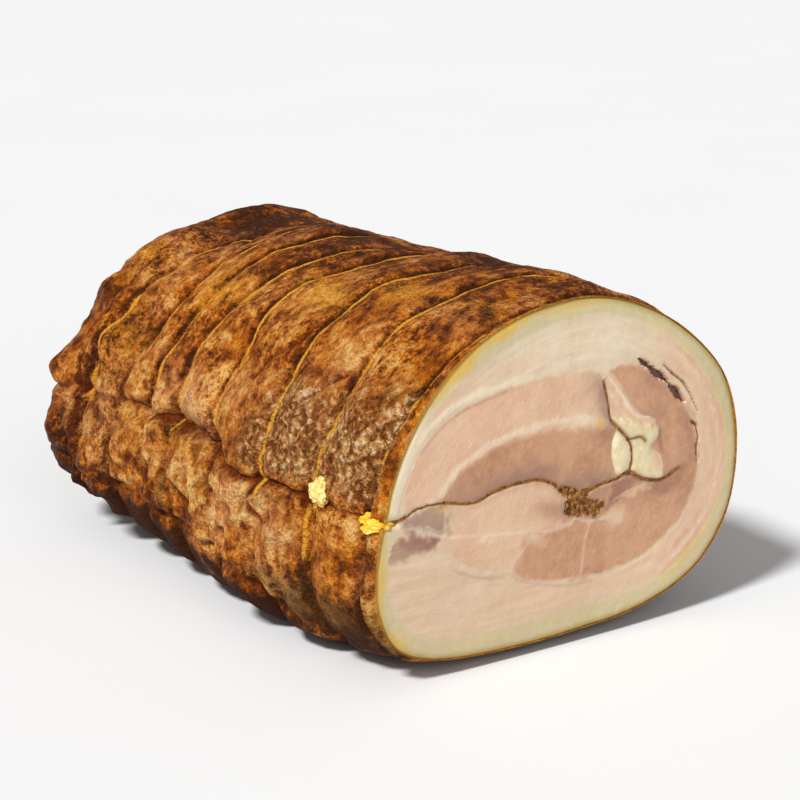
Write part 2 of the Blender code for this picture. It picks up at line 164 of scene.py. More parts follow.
# Where the rind is charred, deep brown, golden, light or pale, with a painted sheen on the light patches: mm
# behind the face, y, z, half sizes along and round, strength
CHARRED = (
    (12, -52, 116, 8, 9, 0.3), (10, -72, 94, 9, 14, 0.5), (70, -72, 102, 12, 7, 0.5),
    (200, -82, 96, 22, 20, 0.4), (240, -97, 40, 11, 18, 0.95), (198, -92, 34, 14, 9, 0.5),
    (150, 4, 134, 60, 20, 0.7), (84, 12, 134, 44, 18, 0.5), (225, 0, 130, 26, 26, 0.8),
    (20, -80, 72, 9, 9, 0.6), (125, -60, 108, 9, 13, 0.45), (105, 60, 112, 40, 22, 0.5),
    (190, 86, 60, 34, 26, 0.5), (70, 88, 40, 26, 20, 0.4), (34, -92, 42, 8, 7, 0.4),
    (232, 60, 90, 26, 26, 0.5))
# Deep brown low on the front: browner rind, and painted shade
DEEP_BROWN_AND_SHADE = (
    (26, -88, 16, 26, 18, 1), (44, -93, 22, 16, 10, 0.9), (8, -88, 38, 6, 14, 0.5),
    (12, -80, 8, 20, 10, 0.9), (60, -96, 26, 14, 6, 0.6))
GOLDEN = (
    (165, -54, 116, 16, 10, 0.9), (100, -46, 126, 18, 9, 0.9), (60, -34, 131, 12, 9, 0.8),
    (236, -52, 120, 12, 8, 1), (205, -84, 92, 8, 12, 0.7), (146, -86, 70, 12, 7, 0.8),
    (190, -88, 58, 12, 10, 0.7), (20, -30, 130, 14, 6, 0.5), (30, -88, 26, 12, 10, 0.6),
    (120, -40, 128, 10, 6, 0.6), (60, 84, 84, 22, 16, 0.6), (140, 86, 50, 22, 18, 0.6),
    (215, 40, 116, 20, 14, 0.6), (100, -92, 64, 9, 5, 0.7), (230, -60, 114, 10, 8, 0.8),
    (142, -90, 59, 22, 4, 0.9), (154, -88, 62, 5, 7, 1), (126, -90, 61, 5, 6, 1), (140, -90, 57, 12, 4, 1))
# Lighter skin, with a painted sheen laid on it
LIGHT_SKIN_AND_SHEEN = (
    (150, -86, 78, 30, 15, 1), (110, -80, 88, 20, 12, 0.6), (50, -66, 110, 20, 12, 0.5),
    (90, -97, 50, 40, 12, 0.9), (150, -92, 52, 26, 10, 0.55), (205, -90, 60, 20, 14, 0.4),
    (60, -97, 44, 16, 12, 0.8), (130, -50, 120, 40, 12, 0.35), (22, -36, 127, 22, 12, 0.6),
    (40, -84, 86, 16, 14, 0.4), (110, 84, 80, 50, 26, 0.5), (190, 60, 104, 30, 20, 0.4))
PALE_SKIN = (
    (84, -98, 45, 15, 10, 0.9), (118, -96, 44, 15, 9, 0.8), (146, -92, 46, 10, 8, 0.6),
    (58, -97, 42, 12, 12, 0.75), (176, -93, 52, 10, 7, 0.4), (214, -95, 60, 8, 14, 0.45),
    (166, -88, 62, 5, 5, 0.5), (8, -90, 44, 6, 5, 0.5), (4, -86, 22, 5, 16, 0.8), (233, -93, 66, 4, 14, 0.6))

# The layers of the cut face, as in the solids
FAT_INNER = (
    (-80, 66.5), (-78.4, 77), (-71, 91.5), (-60, 104), (-47, 113), (-30, 120.5), (-10, 126.5), (10, 128.8),
    (30, 124.5), (50, 115), (68, 99), (79, 82), (83.5, 64), (81, 44), (71, 28.5), (54, 16), (32, 11.5),
    (0, 10), (-38, 9.5), (-62, 11.5), (-77, 20), (-84, 34), (-84.3, 46), (-80.4, 58))
HERB_LINE = (
    (-80.8, 61.1), (-76.5, 62.6), (-70, 64.9), (-60, 65.2), (-50, 63), (-43, 62.5), (-35, 65), (-24, 66.4),
    (-14, 66.1), (-6, 63), (0, 57.5), (8, 56), (16, 58.4), (25, 59.5), (31, 61.8), (37, 58.6), (44, 56),
    (51, 55.8), (59, 58.6))
HERB_BRANCH = (
    (31.4, 61), (33.2, 67), (32, 73.5), (27, 79.5), (22.2, 84.5), (20.8, 91), (18, 101))
HERB_HOOK = ((31.5, 75), (36.8, 75.4), (39.6, 73.2))
HERB_POCKET = (
    (-3, 61), (0.3, 56), (0, 50.5), (4.5, 48), (10, 48.2), (14.5, 46.4), (19, 48.6), (19.4, 51.8),
    (12, 53.4), (10.5, 56), (13, 58.6), (7, 58), (2, 60.4))
SEAM_HALVES = HERB_LINE[2:14]
UPPER_LEAN = (
    (-77.8, 65.2), (-75.8, 77), (-69, 89), (-56, 98.5), (-40, 103.8), (-20, 106.6), (2, 107.4), (14, 105.4),
    (18, 101), (20.8, 91), (22.2, 84.5), (27, 78.5), (28.5, 72), (28.5, 64)) + SEAM_HALVES[::-1]
LOWER_LEAN = ((-78.2, 60.2),) + SEAM_HALVES + (
    (32, 61.4), (40, 62), (41, 74), (30, 84), (23.5, 94), (20.5, 104.6), (34, 105.6),
    (48, 97.5), (60, 86), (67, 73), (69.3, 58), (64, 42), (52, 31), (36, 24), (18, 21), (-2, 22.5),
    (-20, 26), (-30, 32), (-44, 34.5), (-56, 43), (-66, 47), (-76, 48.5), (-80, 53))
FAT_FOLD = (
    (17.2, 103.5), (21, 103.8), (27, 97), (33, 88.8), (39, 83.6), (45.4, 80.5), (46.6, 74.5), (43.5, 70),
    (48.8, 64.5), (49.5, 56), (44, 56), (37, 58.6), (32.6, 61), (33.2, 67), (32, 73.5), (27, 79.5),
    (22.2, 84.5), (20.8, 91), (18.6, 98))
FAT_LOBE = (
    (26.4, 80), (32, 73.5), (33.2, 67), (31, 61.8), (27.4, 60.4), (24.6, 64), (23, 71), (23.6, 77))
HERB_THICKNESS = 1.5
BRANCH_THICKNESS = 1.0

# Marks that the layers show, in the same millimetres
SEAM_MOUTH = ((-92, 58.5), (-86, 60.2), (-80.8, 61.1))
WHITE_FASCIA = (
    (-80.7, 69), (-79.4, 74), (-76.9, 80.5), (-71.2, 89.6), (-61.7, 97.6), (-49.3, 103.2), (-28.3, 106.8),
    (-8, 108), (14, 107.4), (30, 106.8))
FASCIA_LOW = (
    (-50.2, 38.2), (-41.7, 34.6), (-33.1, 32.6), (-27, 31.6), (-20, 26.5), (-8, 23.2), (6, 22.2),
    (18, 21.4), (34, 22.6), (48, 27), (60, 35.5), (66, 43), (69.6, 54), (70.6, 64), (69.4, 76), (64.5, 87),
    (56, 96))
WHITE_STREAK = (
    (-59.8, 69.1), (-52.1, 77.4), (-43.6, 81.4), (-33.1, 85.2), (-22, 87), (-10, 88.2), (2, 87.8), (10, 87),
    (17, 84.8))
LOWER_WHITE = (
    (-74, 58), (-66, 54.6), (-58.8, 51.6), (-48, 50), (-37.9, 48.2), (-18.8, 46), (-8, 44.8), (2.1, 45.3),
    (5, 47.2), (12, 44.8), (22, 44.4), (27, 45))
FOLD_EDGE = ((18.6, 104.5), (23.1, 98.8), (27.6, 93.2), (32.1, 86.8), (35.4, 84.2), (41.9, 82.4))
LOBE_SHADOWS = (
    ((-54, 37.4), (-46, 33.6), (-38, 31), (-30, 29.8)), ((-24, 27.8), (-12, 23.4), (0, 20.4), (14, 19.6)),
    ((27.6, 96), (33.4, 88.6), (38.4, 84.4), (45, 82.6)), ((-70, 86), (-60, 94.6), (-48, 100.2), (-30, 104)))
MUSCLE_GAPS = (
    ((-16, 45), (-19, 41), (-24.5, 35.8), (-27, 32.5)), ((12.5, 44), (10.4, 38), (9.2, 31), (8.6, 23)),
    ((-58, 62), (-58.2, 56), (-57, 51)), ((24, 51), (31, 53.5), (38, 54.5), (44, 52.5)),
    ((-27, 32), (-34, 33), (-42, 35), (-50, 38.5)))
CLEFTS = (
    ((35.5, 107.6, 0.2), (38.1, 105.4, 1.2), (41.9, 102.7, 0.8), (45.6, 100, 1.6), (50.2, 97, 0.8),
     (52.6, 94, 0.5), (56.2, 90.4, 1.7), (60.7, 85.7, 0.3)),
    ((48.6, 103.2, 0.05), (53.9, 98.6, 0.2), (59.9, 94, 0.25), (63.7, 88.7, 0.2), (68.2, 81.2, 0.05)),
    ((64.1, 77.8, 0.15), (67.4, 75.2, 0.5), (68.6, 69.9, 0.35), (67.8, 65.4, 0.3), (68.6, 59.4, 0.1)))
DARK_BESIDE_FOLD = ((45.6, 80, 0.2), (47.4, 76, 0.7), (47.8, 72, 0.5), (49.6, 66.6, 0.1))
PURPLE_STRENGTHS = (1.0, 1.0, 0.6)          # one for each of the patches
PURPLE_PATCHES = (
    ((-85.5, 47.6), (-84, 53.8), (-77, 55), (-68.4, 53.6), (-60, 51.8), (-64, 48.2), (-72.9, 46.6),
     (-80, 45.6)),
    ((20, 46.8), (22.6, 53.4), (23.6, 59), (30.6, 60.4), (34.8, 57), (30, 52.6), (26, 49.4)),
    ((43.9, 54.4), (52, 57.6), (61, 60), (60, 54), (54, 48.6), (46, 49.6)))
GREY_PATCHES = (
    ((-76.5, 61.6), (-68, 64), (-58.6, 63.8), (-58.6, 52.4), (-68, 54.4), (-76, 57)),
    ((9.6, 54), (13.6, 57.6), (18.6, 58.6), (22.6, 58.6), (21.4, 53.8), (14, 53.6)))
OUTER_LINE = (
    (-10, 129.5), (8, 131), (28, 127.5), (44, 120), (60, 108), (72, 95), (80, 82), (84.6, 66), (84, 50),
    (77, 35), (64, 21), (50, 13.5))
BELLY_EDGE = (
    (-92, 52), (-80, 70), (-71, 91.5), (-60, 104), (-47, 113), (-30, 120.5), (-10, 126.5), (10, 128.8),
    (30, 124.5), (50, 115), (68, 99), (79, 82), (83.5, 64), (81, 44), (71, 28.5), (54, 16), (32, 11),
    (0, 9.5), (-38, 8.5), (-70, 8), (-100, 8))

# Beads of fat on the seam: mm behind the face, y, z, then their half sizes
FRONT_BEAD = ((6.8, -85.2, 60.2), (6.6, 5.2, 3.9))
MIDDLE_BEAD = ((37.6, -90.0, 65.6), (4.8, 3.4, 5.2))

# How each value changes with y: the herb seam's thickness, and where the dark muscle ends above
HERB_SWELL_AT = (-80, -70, -52, -44, -10, 20, 40, 56)
HERB_SWELL = (0.42, 0.26, 0.24, 0.42, 0.40, 0.36, 0.50, 0.44)
STREAK_AT = (-66, -59.8, -52, -43.6, -33, -22, -8, 14, 24)
STREAK_TOP = (60, 68, 76.4, 80.6, 84.2, 85.6, 86.0, 83.5, 82.5)
BROWN_TOP_AT = (-30, -18.8, 2, 5, 10, 15)
BROWN_TOP = (46.5, 46, 45.3, 47.2, 60, 130)

# White lines: strength, half width and path; on the right, the depth in the outer layer and strength
WHITE_STRANDS = (
    (0.35, 0.9, FASCIA_LOW), (0.62, 1.5, WHITE_STREAK), (0.5, 0.9, LOWER_WHITE), (0.85, 0.55, FOLD_EDGE),
    (0.5, 0.5, tuple((y - 3.4, z - 1.6) for y, z in FOLD_EDGE[1:5])),
    *((0.32, 0.7, gap) for gap in MUSCLE_GAPS))
LAYER_LINES = ((3.0, 0.55), (7.5, 0.34), (12.0, 0.42))

# Soft spots: strength, centre, half width, half height and, if it lies aslant, its turn in degrees
PEACH_SPOTS = ((0.75, (-60, 103.5), 17, 4.5, 38), (0.5, (-28, 113), 20, 3.2, 14))
PURPLE_SPOTS = (
    (0.45, (-4, 52), 12, 3.6, -16), (0.5, (44, 51.6), 3.2, 2.6), (0.55, (55, 52), 5, 3.6),
    (0.5, (62.5, 76), 3, 8, 16), (0.5, (45, 95), 12, 2.6, -40), (0.5, (27.4, 82.2), 1.6, 1.3))
GREY_SPOTS = ((0.4, (46, 83.5), 5, 3, -20), (0.45, (58, 59), 6, 4, 20), (0.35, (-58, 60), 8, 4))
WHITE_SPOTS = (
    (0.8, (9.5, 86.4), 8, 3, -12), (0.62, (-40, 47), 4, 1.3, -10), (0.6, (-16, 43.5), 5, 2.6, -30),
    (0.6, (26, 44), 4.4, 3.4, 20), (0.5, (-64, 66.5), 6, 0.9, 24), (0.5, (-66, 56), 9, 0.5, -22),
    (0.45, (38, 53.6), 7, 1.2, 14), (0.5, (61, 90), 9, 0.9, -48))
GOLDEN_SPOTS = (
    (0.95, (-53, 114.5), 15, 3, 36), (0.9, (-30, 127.5), 15, 2.4, 22), (0.55, (0, 132.8), 24, 1.6, 3),
    (0.85, (-88, 36), 2, 18, -3), (0.5, (64, 21), 14, 1.8, 38), (0.95, (16.6, 84), 2.2, 2),
    (0.6, (-80, 14), 6, 3, -40), (0.75, (-84.5, 70), 1.6, 14, -14), (0.6, (-60, 62.5), 3, 1),
    (0.6, (41, 61.5), 2.2, 0.6, -8), (0.5, (9, 58.8), 2.4, 0.9, 12))

# Relief of the cut face, in mm
RIM_ROUNDING = 1.0
CLEFT_DEPTH = 2.6
CREAM_HEIGHT = 0.9
MOUTH_DEPTH = 2.2

ROLL_MIDDLE = (0.0, FACE_Y * MM, (FLOOR_DROP + AXIS_Z) * MM)
FAT_RING_DEPTH = 7.0              # the outer fat shows as a ring this deep, inside the rind
FAT_RING_TAPER = 0.965
RIND_DEPTH = 5.8                  # the rind is closed this far behind its edge, inside the roll
RIND_TAPER = 0.975
SHADE_ANGLE = 60.0                # edges up to this angle are shaded smooth
AROUND = 306                      # points round the roll
CELL_RINGS = (5, 27, 31, 31, 31, 27, 27, 25, 12)      # rings before each string mark and the rounded end
ROUNDING_RINGS = 30
END_FACE_RINGS = 52
END_FACE_FADE = 0.93              # how the colour patches fade from each ring to the next
END_FACE_BULGE = 3.0              # the coil stands out past the solids by this much at most
COIL_TURNS = 2.3
COIL_SWELL = 1.8
COIL_CREASE_DEPTH = 2.8
COIL_CREASE_WIDTH = 0.11
FACE_STEP = 0.62                  # spacing of the cut face's points, in mm
EDGE_SMOOTHING = 7                # rounds of smoothing along the layers' edges
GRID_SMOOTHING = 4                # and of the points between them
FAR = 1e9                         # farther than any distance on the roast


def place(behind, y, z):
    """Points in the frame's metres, from arrays of millimetres."""
    return np.stack([(FACE_X - behind) * MM, (FACE_Y + y) * MM, (FLOOR_DROP + z) * MM], -1)


def smooth_curve(points, steps, closed=False):
    """Points on a Catmull-Rom curve through the given ones, with some steps between each two."""
    knots = [np.array(p, float) for p in points]
    count = len(knots)
    spans = count if closed else count - 1
    curve = []
    for i in range(spans):
        if closed:
            a, b, c, d = (knots[(i + k) % count] for k in (-1, 0, 1, 2))
        else:
            a, b, c, d = (knots[min(max(i + k, 0), count - 1)] for k in (-1, 0, 1, 2))
        for k in range(steps):
            t = k / steps
            curve.append(0.5 * (2 * b + (c - a) * t + (2 * a - 5 * b + 4 * c - d) * t * t
                                + (3 * b - a - 3 * c + d) * t ** 3))
    if not closed:
        curve.append(knots[-1])
    return np.array(curve)


def run_along(path):
    """The length along a path up to each of its points."""
    return np.concatenate([[0], np.cumsum(np.hypot(*np.diff(path, axis=0).T))])


def distance_to(points, path, closed=False):
    """Distance of each point to a path."""
    ends = np.roll(path, -1, axis=0) if closed else path[1:]
    starts = path if closed else path[:-1]
    best = np.full(len(points), FAR)
    for a, b in zip(starts, ends):
        run = b - a
        share = np.clip(((points - a) @ run) / (run @ run + 1e-9), 0, 1)
        off = points - a - share[:, None] * run
        best = np.minimum(best, np.hypot(off[:, 0], off[:, 1]))
    return best


def is_inside(points, outline):
    """Whether each point lies in a closed outline."""
    x, y = points[:, 0], points[:, 1]
    result = np.zeros(len(points), bool)
    for (x0, y0), (x1, y1) in zip(outline, np.roll(outline, -1, axis=0)):
        crosses = (y0 > y) != (y1 > y)
        at = x0 + (y - y0) * (x1 - x0) / (y1 - y0 + 1e-12)
        result ^= crosses & (x < at)
    return result


def ramp(value, low, high):
    """A smooth step from 0 at low to 1 at high."""
    t = np.clip((value - low) / (high - low), 0, 1)
    return t * t * (3 - 2 * t)


def bell(offset, width):
    """1 where the offset is 0, falling softly to 0 past the width."""
    return np.exp(-(offset / width) ** 2)


def blob(points, centre, half_width, half_height, turn=0.0):
    """A soft spot, 1 at its centre."""
    a = math.radians(turn)
    off = points - np.array(centre)
    along = (off[:, 0] * math.cos(a) + off[:, 1] * math.sin(a)) / half_width
    across = (-off[:, 0] * math.sin(a) + off[:, 1] * math.cos(a)) / half_height
    return np.exp(-(along ** 2 + across ** 2))


def soft_spots(points, spots):
    """The strongest of some soft spots: strength, centre, half width, half height and perhaps a turn."""
    return np.maximum.reduce([strength * blob(points, *spot) for strength, *spot in spots])


def waves(points, size, seed, octaves=2):
    """Smooth noise between about -1 and 1, over waves of a size."""
    shift = Vector((seed * 7.3, seed * 3.1, seed * 5.7))
    result = np.empty(len(points))
    for i, p in enumerate(points):
        result[i] = noise.fractal(Vector(p) / size + shift, 1.0, 2.0, octaves)
    return result


def round_wave(angle):
    """The first waves round the roll, for values that pass smoothly from one side to the next."""
    a = np.radians(angle)
    return np.stack([np.ones_like(a), np.cos(a), np.sin(a), np.cos(2 * a), np.sin(2 * a)], -1)


def round_the_roll(values, angle):
    """Values given at the string angles, read at any angle round the roll."""
    weights = np.linalg.lstsq(round_wave(np.array(STRING_ANGLES)), np.array(values, float), rcond=None)[0]
    return round_wave(angle) @ weights


def turn_between(angle, other):
    """The signed turn from one angle to another, in degrees."""
    return (angle - other + 180) % 360 - 180


# The roll's surface

def section_points():
    """Points of the face's outline, closer together on the side with the seam."""
    curve = smooth_curve(FACE_OUTLINE, 40, True)
    closed = np.concatenate([curve, curve[:1]])
    angle = np.degrees(np.arctan2(closed[:, 1] - AXIS_Z, closed[:, 0]))
    off = np.abs(turn_between(angle, SEAM_ANGLE))
    density = 0.42 + 0.55 * (1 - ramp(off, 60, 130)) + 1.1 * bell(off, 9.0)
    steps = (density[1:] + density[:-1]) / 2 * np.diff(run_along(closed))
    weight = np.concatenate([[0], np.cumsum(steps)])
    start = weight[int(np.argmin(np.hypot(*(closed - SEAM_START).T)))]
    at = (start + np.linspace(0, weight[-1], AROUND)) % weight[-1]
    return np.stack([np.interp(at, weight, closed[:, 0]), np.interp(at, weight, closed[:, 1])], 1)


def mark_places(angle):
    """How far behind the face each string mark lies, at every angle."""
    rows = [np.zeros_like(angle)]
    for low, seam, shoulder, top in STRING_MARKS:
        rows.append(round_the_roll((low, low, seam, shoulder, top, (low + top) / 2), angle))
    rows[1] = np.maximum(rows[1], FIRST_MARK_LEAST)
    rows.append(np.full_like(angle, LENGTH * (1 - END_SHARE)))
    return np.array(rows)


def ring_places(angle):
    """Each ring's distance behind the face, share between two marks and swell's number, and the marks."""
    marks = mark_places(angle)
    behind = []
    share = []
    cell = []
    for k, count in enumerate(CELL_RINGS):
        u = np.arange(count) / count
        for value in 0.55 * u + 0.45 * (0.5 - 0.5 * np.cos(math.pi * u)):
            behind.append(marks[k] + (marks[k + 1] - marks[k]) * value)
            share.append(np.full_like(angle, value))
            cell.append(np.full_like(angle, k))
    start = LENGTH * (1 - END_SHARE)
    for turn in np.linspace(0, math.pi / 2, ROUNDING_RINGS):
        behind.append(np.full_like(angle, start + (LENGTH - start) * math.sin(turn)))
        share.append(np.full_like(angle, 0.5 * math.sin(turn)))
        cell.append(np.full_like(angle, len(CELL_RINGS)))
    return np.array(behind), np.array(share), np.array(cell), marks


def swollen_section(behind, section):
    """The section at each ring, as the roll swells and rounds in, without relief."""
    share = np.clip(behind / LENGTH, 0, 1)
    left, right, top, under = (
        np.interp(share, SWELL_AT, swell) for swell in (SWELL_LEFT, SWELL_RIGHT, SWELL_TOP, SWELL_UNDER))
    u = np.clip((share - 1 + END_SHARE) / END_SHARE, 0, 1)
    size = END_SCALE + (1 - END_SCALE) * np.sqrt(np.clip(1 - u ** 2.2, 0, 1))
    y = section[None, :, 0] * np.where(section[None, :, 0] < 0, left, right) * size
    lift = section[None, :, 1] - AXIS_Z
    return y, lift * np.where(lift > 0, top, under) * size


class RindSurface:
    """The rind as rings of points: the plain swollen roll, and the relief in mm that is added to it."""

    def __init__(self):
        section = section_points()
        self.angle_row = np.degrees(np.arctan2(section[:, 1] - AXIS_Z, section[:, 0]))
        self.behind, self.share, self.cell, self.marks = ring_places(self.angle_row)
        self.shape = self.behind.shape
        self.angle = np.broadcast_to(self.angle_row, self.shape)
        self.y, self.z = swollen_section(self.behind, section)
        self.radius = np.hypot(self.y, self.z)
        self.arc = np.broadcast_to(run_along(section), self.shape)
        self.spot = np.stack([self.behind, self.y, self.z], -1).reshape(-1, 3)
        self.left = self.y < 0
        self.level = self.z + AXIS_Z
        self.wander = self.field(16, 3)
        seam = np.interp(self.behind, SEAM_AT, SEAM_HEIGHT)
        fold = np.interp(self.behind, LOW_FOLD_AT, LOW_FOLD_HEIGHT)
        self.above = self.level - seam - 1.6 * self.wander
        self.above_fold = self.level - fold - 1.8 * self.field(14, 4)
        self.band = (ramp(-self.above, 0, 7) * ramp(self.above_fold, -3, 3) * self.left
                     * self.past(32, 62, 6) * (1 - self.past(178, 214, 8)))
        self.fade = np.clip(self.behind / 5.0, 0, 1)
        self.add_string_marks()
        self.add_seam_and_fold()
        self.add_lumps()
        self.add_loose_skin()
        self.add_cracks()
        self.add_strap()
        self.relief = np.maximum(self.relief, -DEEPEST) * self.fade
        self.raise_points()

    def field(self, size, seed, octaves=2, stretch=(1, 1, 1)):
        """Smooth noise over the plain roll."""
        return waves(self.spot * np.array(stretch), size, seed, octaves).reshape(self.shape)

    def past(self, low, high, waver=0.0):
        """Smoothly 0 before low and 1 past high, in mm behind the face, along a line that may waver."""
        return ramp(self.behind + waver * self.wander, low, high)

    def add_string_marks(self):
        """Flesh swells between the strings; each left a thin raised line beside a narrow dent."""
        depth = round_the_roll(MARK_DEPTHS, self.angle_row)[None, :]
        between = np.abs(2 * self.share - 1) ** PILLOW_POWER
        at_end = (1 - np.minimum(self.share * 4, 1)) ** 2 * 0.8
        sunk = np.where(self.cell < len(CELL_RINGS), between, at_end)
        self.relief = depth * (PILLOW_LEVEL - sunk) * (1 - 0.5 * self.band)
        self.ridge = np.zeros(self.shape)
        self.dent = np.zeros(self.shape)
        below_seam = ramp(-self.above, 2, 9) * ramp(-self.y, 0, 12)
        for number, mark in enumerate(self.marks[1:-1], 1):
            off = self.behind - mark + 0.6 * self.wander
            strength = np.clip(0.9 + 0.6 * self.field(20, 30 + number), 0.35, 1.0)
            strength *= 1 - 0.75 * below_seam
            width = RIDGE_WIDTH_NEAR if number <= NEAR_MARKS else RIDGE_WIDTH
            self.ridge = np.maximum(self.ridge, strength * bell(off, width))
            self.dent = np.maximum(self.dent, (0.4 + 0.6 * strength) * bell(off - DENT_OFFSET, DENT_WIDTH))
        self.relief += RIDGE_HEIGHT * self.ridge - DENT_DEPTH * self.dent

    def add_seam_and_fold(self):
        """The seam is a crevice under the overlapping edge; lower down the skin tucks under."""
        width = np.interp(self.behind, SEAM_AT, SEAM_WIDTH)
        self.seam_depth = np.interp(self.behind, SEAM_AT, SEAM_DEPTH)
        self.crevice = self.left * bell(self.above, width)
        self.relief -= self.seam_depth * self.crevice * (0.75 + 0.35 * self.field(11, 6))
        lip = self.left * bell(self.above - LIP_ABOVE, LIP_WIDTH)
        self.relief += LIP_SHARE * self.seam_depth * lip * (0.7 + 0.9 * self.field(12, 5))
        self.tuck = self.left * bell(self.above_fold, TUCK_WIDTH) * self.past(22, 50)
        self.relief -= TUCK_DEPTH * self.tuck * (0.8 + 0.5 * self.field(10, 7))

    def add_lumps(self):
        """Single lumps and hollows, and broad unevenness all over."""
        for at, lump_angle, lump_height, half_length, half_width in LUMPS:
            turn = np.radians(turn_between(self.angle, lump_angle)) * self.radius
            lump = bell(self.behind - at, half_length) * bell(turn, half_width)
            self.relief += lump_height * lump
        self.relief += LUMPINESS * self.field(LUMP_WAVE, 0, 1)

    def add_loose_skin(self):
        """Crumpled skin under the seam, skin in arcs, blisters above the seam, and the rough rear."""
        self.crumple = 1 - np.abs(self.field(11.5, 8, 2, (1.0, 1, 0.8)))
        self.relief += CRUMPLE_HEIGHT * self.band * (self.crumple ** 3 - 0.5)
        away = np.hypot((self.behind - CURL_SPOT[0]) / 1.15, self.level - CURL_SPOT[1])
        curl = np.cos(away * 2 * math.pi / CURL_SPACING) * bell(away - CURL_RADIUS, CURL_REACH)
        self.relief += CURL_HEIGHT * curl * ramp(-self.above, 2, 7) * self.left
        higher = self.above - 10 * (1 - self.past(16, 60))
        self.blister = (ramp(self.above, 1, 8) * (1 - ramp(higher, 16, 58)) * self.left
                        * (1 - self.past(84, 116, 8)) * self.past(2, 9))
        wrinkle = 1 - np.abs(self.field(3.4, 11, 2, (0.8, 1, 1)))
        blisters = 1.1 * (wrinkle ** 2 - 0.55) + 0.5 * self.field(7, 12, 2)
        self.rear = self.past(178, 222)
        self.rear_left = self.rear * (1 - ramp(np.abs(turn_between(self.angle, 185)), 34, 70))
        ragged = self.crumple ** 2 - 0.6 + 3.0 * self.field(15, 14, 2)
        unrest = np.clip(0.30 + self.blister * 0.4 + 0.45 * self.band + 0.5 * self.rear_left, 0, 1)
        self.relief += (self.blister * blisters
                        + self.rear * 0.9 * self.field(12, 13, 3) + self.rear_left * ragged
                        + 0.40 * self.field(5, 15, 3, (1, 0.6, 0.6)) + unrest * 1.1 * self.field(8, 16, 3))

    def arc_at(self, y, z):
        """The arc round the roll at a place of the section."""
        turn = turn_between(self.angle_row, math.degrees(math.atan2(z - AXIS_Z, y)))
        return self.arc[0, int(np.argmin(np.abs(turn)))]

    def add_cracks(self):
        """Cracks and folds in the skin, cut along lines on the unrolled rind."""
        unrolled = np.stack([self.behind, self.arc], -1).reshape(-1, 2)
        frayed = 0.5 * self.wander + 0.4 * self.field(5, 9)
        self.cracks = np.zeros(self.shape)
        for half_width, *path in CRACKS:
            line = smooth_curve([(at, self.arc_at(y, z)) for at, y, z in path], 4)
            away = distance_to(unrolled, line).reshape(self.shape) + frayed
            self.cracks = np.maximum(self.cracks, bell(np.clip(away, 0, None), half_width))
        self.relief -= CRACK_DEPTH * self.cracks

    def add_strap(self):
        """A short strap of skin stands up beside the second string mark."""
        off = self.behind - STRAP_PLACE[0] - (self.level - STRAP_PLACE[1]) * STRAP_SLANT
        strap = self.left * np.exp(-(off / STRAP_WIDTH) ** 4)
        strap = strap * ramp(self.level, 34, 39) * (1 - ramp(self.level, 57, 61))
        self.relief += STRAP_HEIGHT * strap
        self.ridge = np.maximum(self.ridge, 0.55 * strap)

    def raise_points(self):
        """The section's places with the relief, flattened where the roast lies."""
        scale = 1 + self.relief / self.radius
        droop = self.left * DROOP * bell(self.above - 2.4, 2.0) * self.fade
        self.out_y = self.y * scale
        self.out_z = np.maximum(AXIS_Z + self.z * scale - droop * self.seam_depth / 8, -FLOOR_DROP)

    def patches(self, places):
        """Soft patches: mm behind the face, y, z, half size along the roll, half size round it, strength."""
        seen = np.zeros(self.shape)
        for at, across, up, half_length, half_width, strength in places:
            off = np.hypot(self.out_y - across, self.out_z - up)
            seen = np.maximum(seen, strength * bell(self.behind - at, half_length) * bell(off, half_width))
        return seen

    def marks_seen(self):
        """What the rind's finish needs to know at each point."""
        on_left = ramp(-self.y, -24, 24)
        low_left = ramp(-self.above_fold, 0, 12) * ramp(-self.z, 8, 30)
        # The underside is browner rind, and is also painted darker as shade.
        underside = on_left * low_left + (1 - on_left) * ramp(-self.z, 20, 60)
        # Painted shade: the open seam, the tuck and the cracks are drawn darker.
        open_seam = self.crevice * np.clip(self.seam_depth / 6, 0.25, 1)
        shade_in_depths = np.clip(open_seam + 0.6 * self.tuck + 0.9 * self.cracks, 0, 1)
        pale = np.maximum(self.patches(PALE_SKIN), 0.45 * self.band)
        return {
            # The dents beside the string marks are painted darker as shade.
            "ridge": self.ridge * self.fade, "dent": self.dent * self.fade,
            "crevice": shade_in_depths * np.clip(self.behind / 3, 0, 1), "blister": self.blister,
            "rear": np.maximum(self.rear_left, 0.35 * self.rear), "char": self.patches(CHARRED),
            "gold": self.patches(GOLDEN), "light": self.patches(LIGHT_SKIN_AND_SHEEN),
            "pale": pale * ramp(self.relief, -1.6, 1.2), "rim_near": np.exp(-self.behind / 2.2),
            "underside": np.maximum(underside, self.patches(DEEP_BROWN_AND_SHADE)),
            "height": np.clip((self.out_z + FLOOR_DROP) / 140, 0, 1),
            # Hollows of the crumpled skin, painted darker as shade.
            "hollow": ramp(-self.crumple, -0.62, -0.2) * np.maximum(self.band, self.rear_left)}


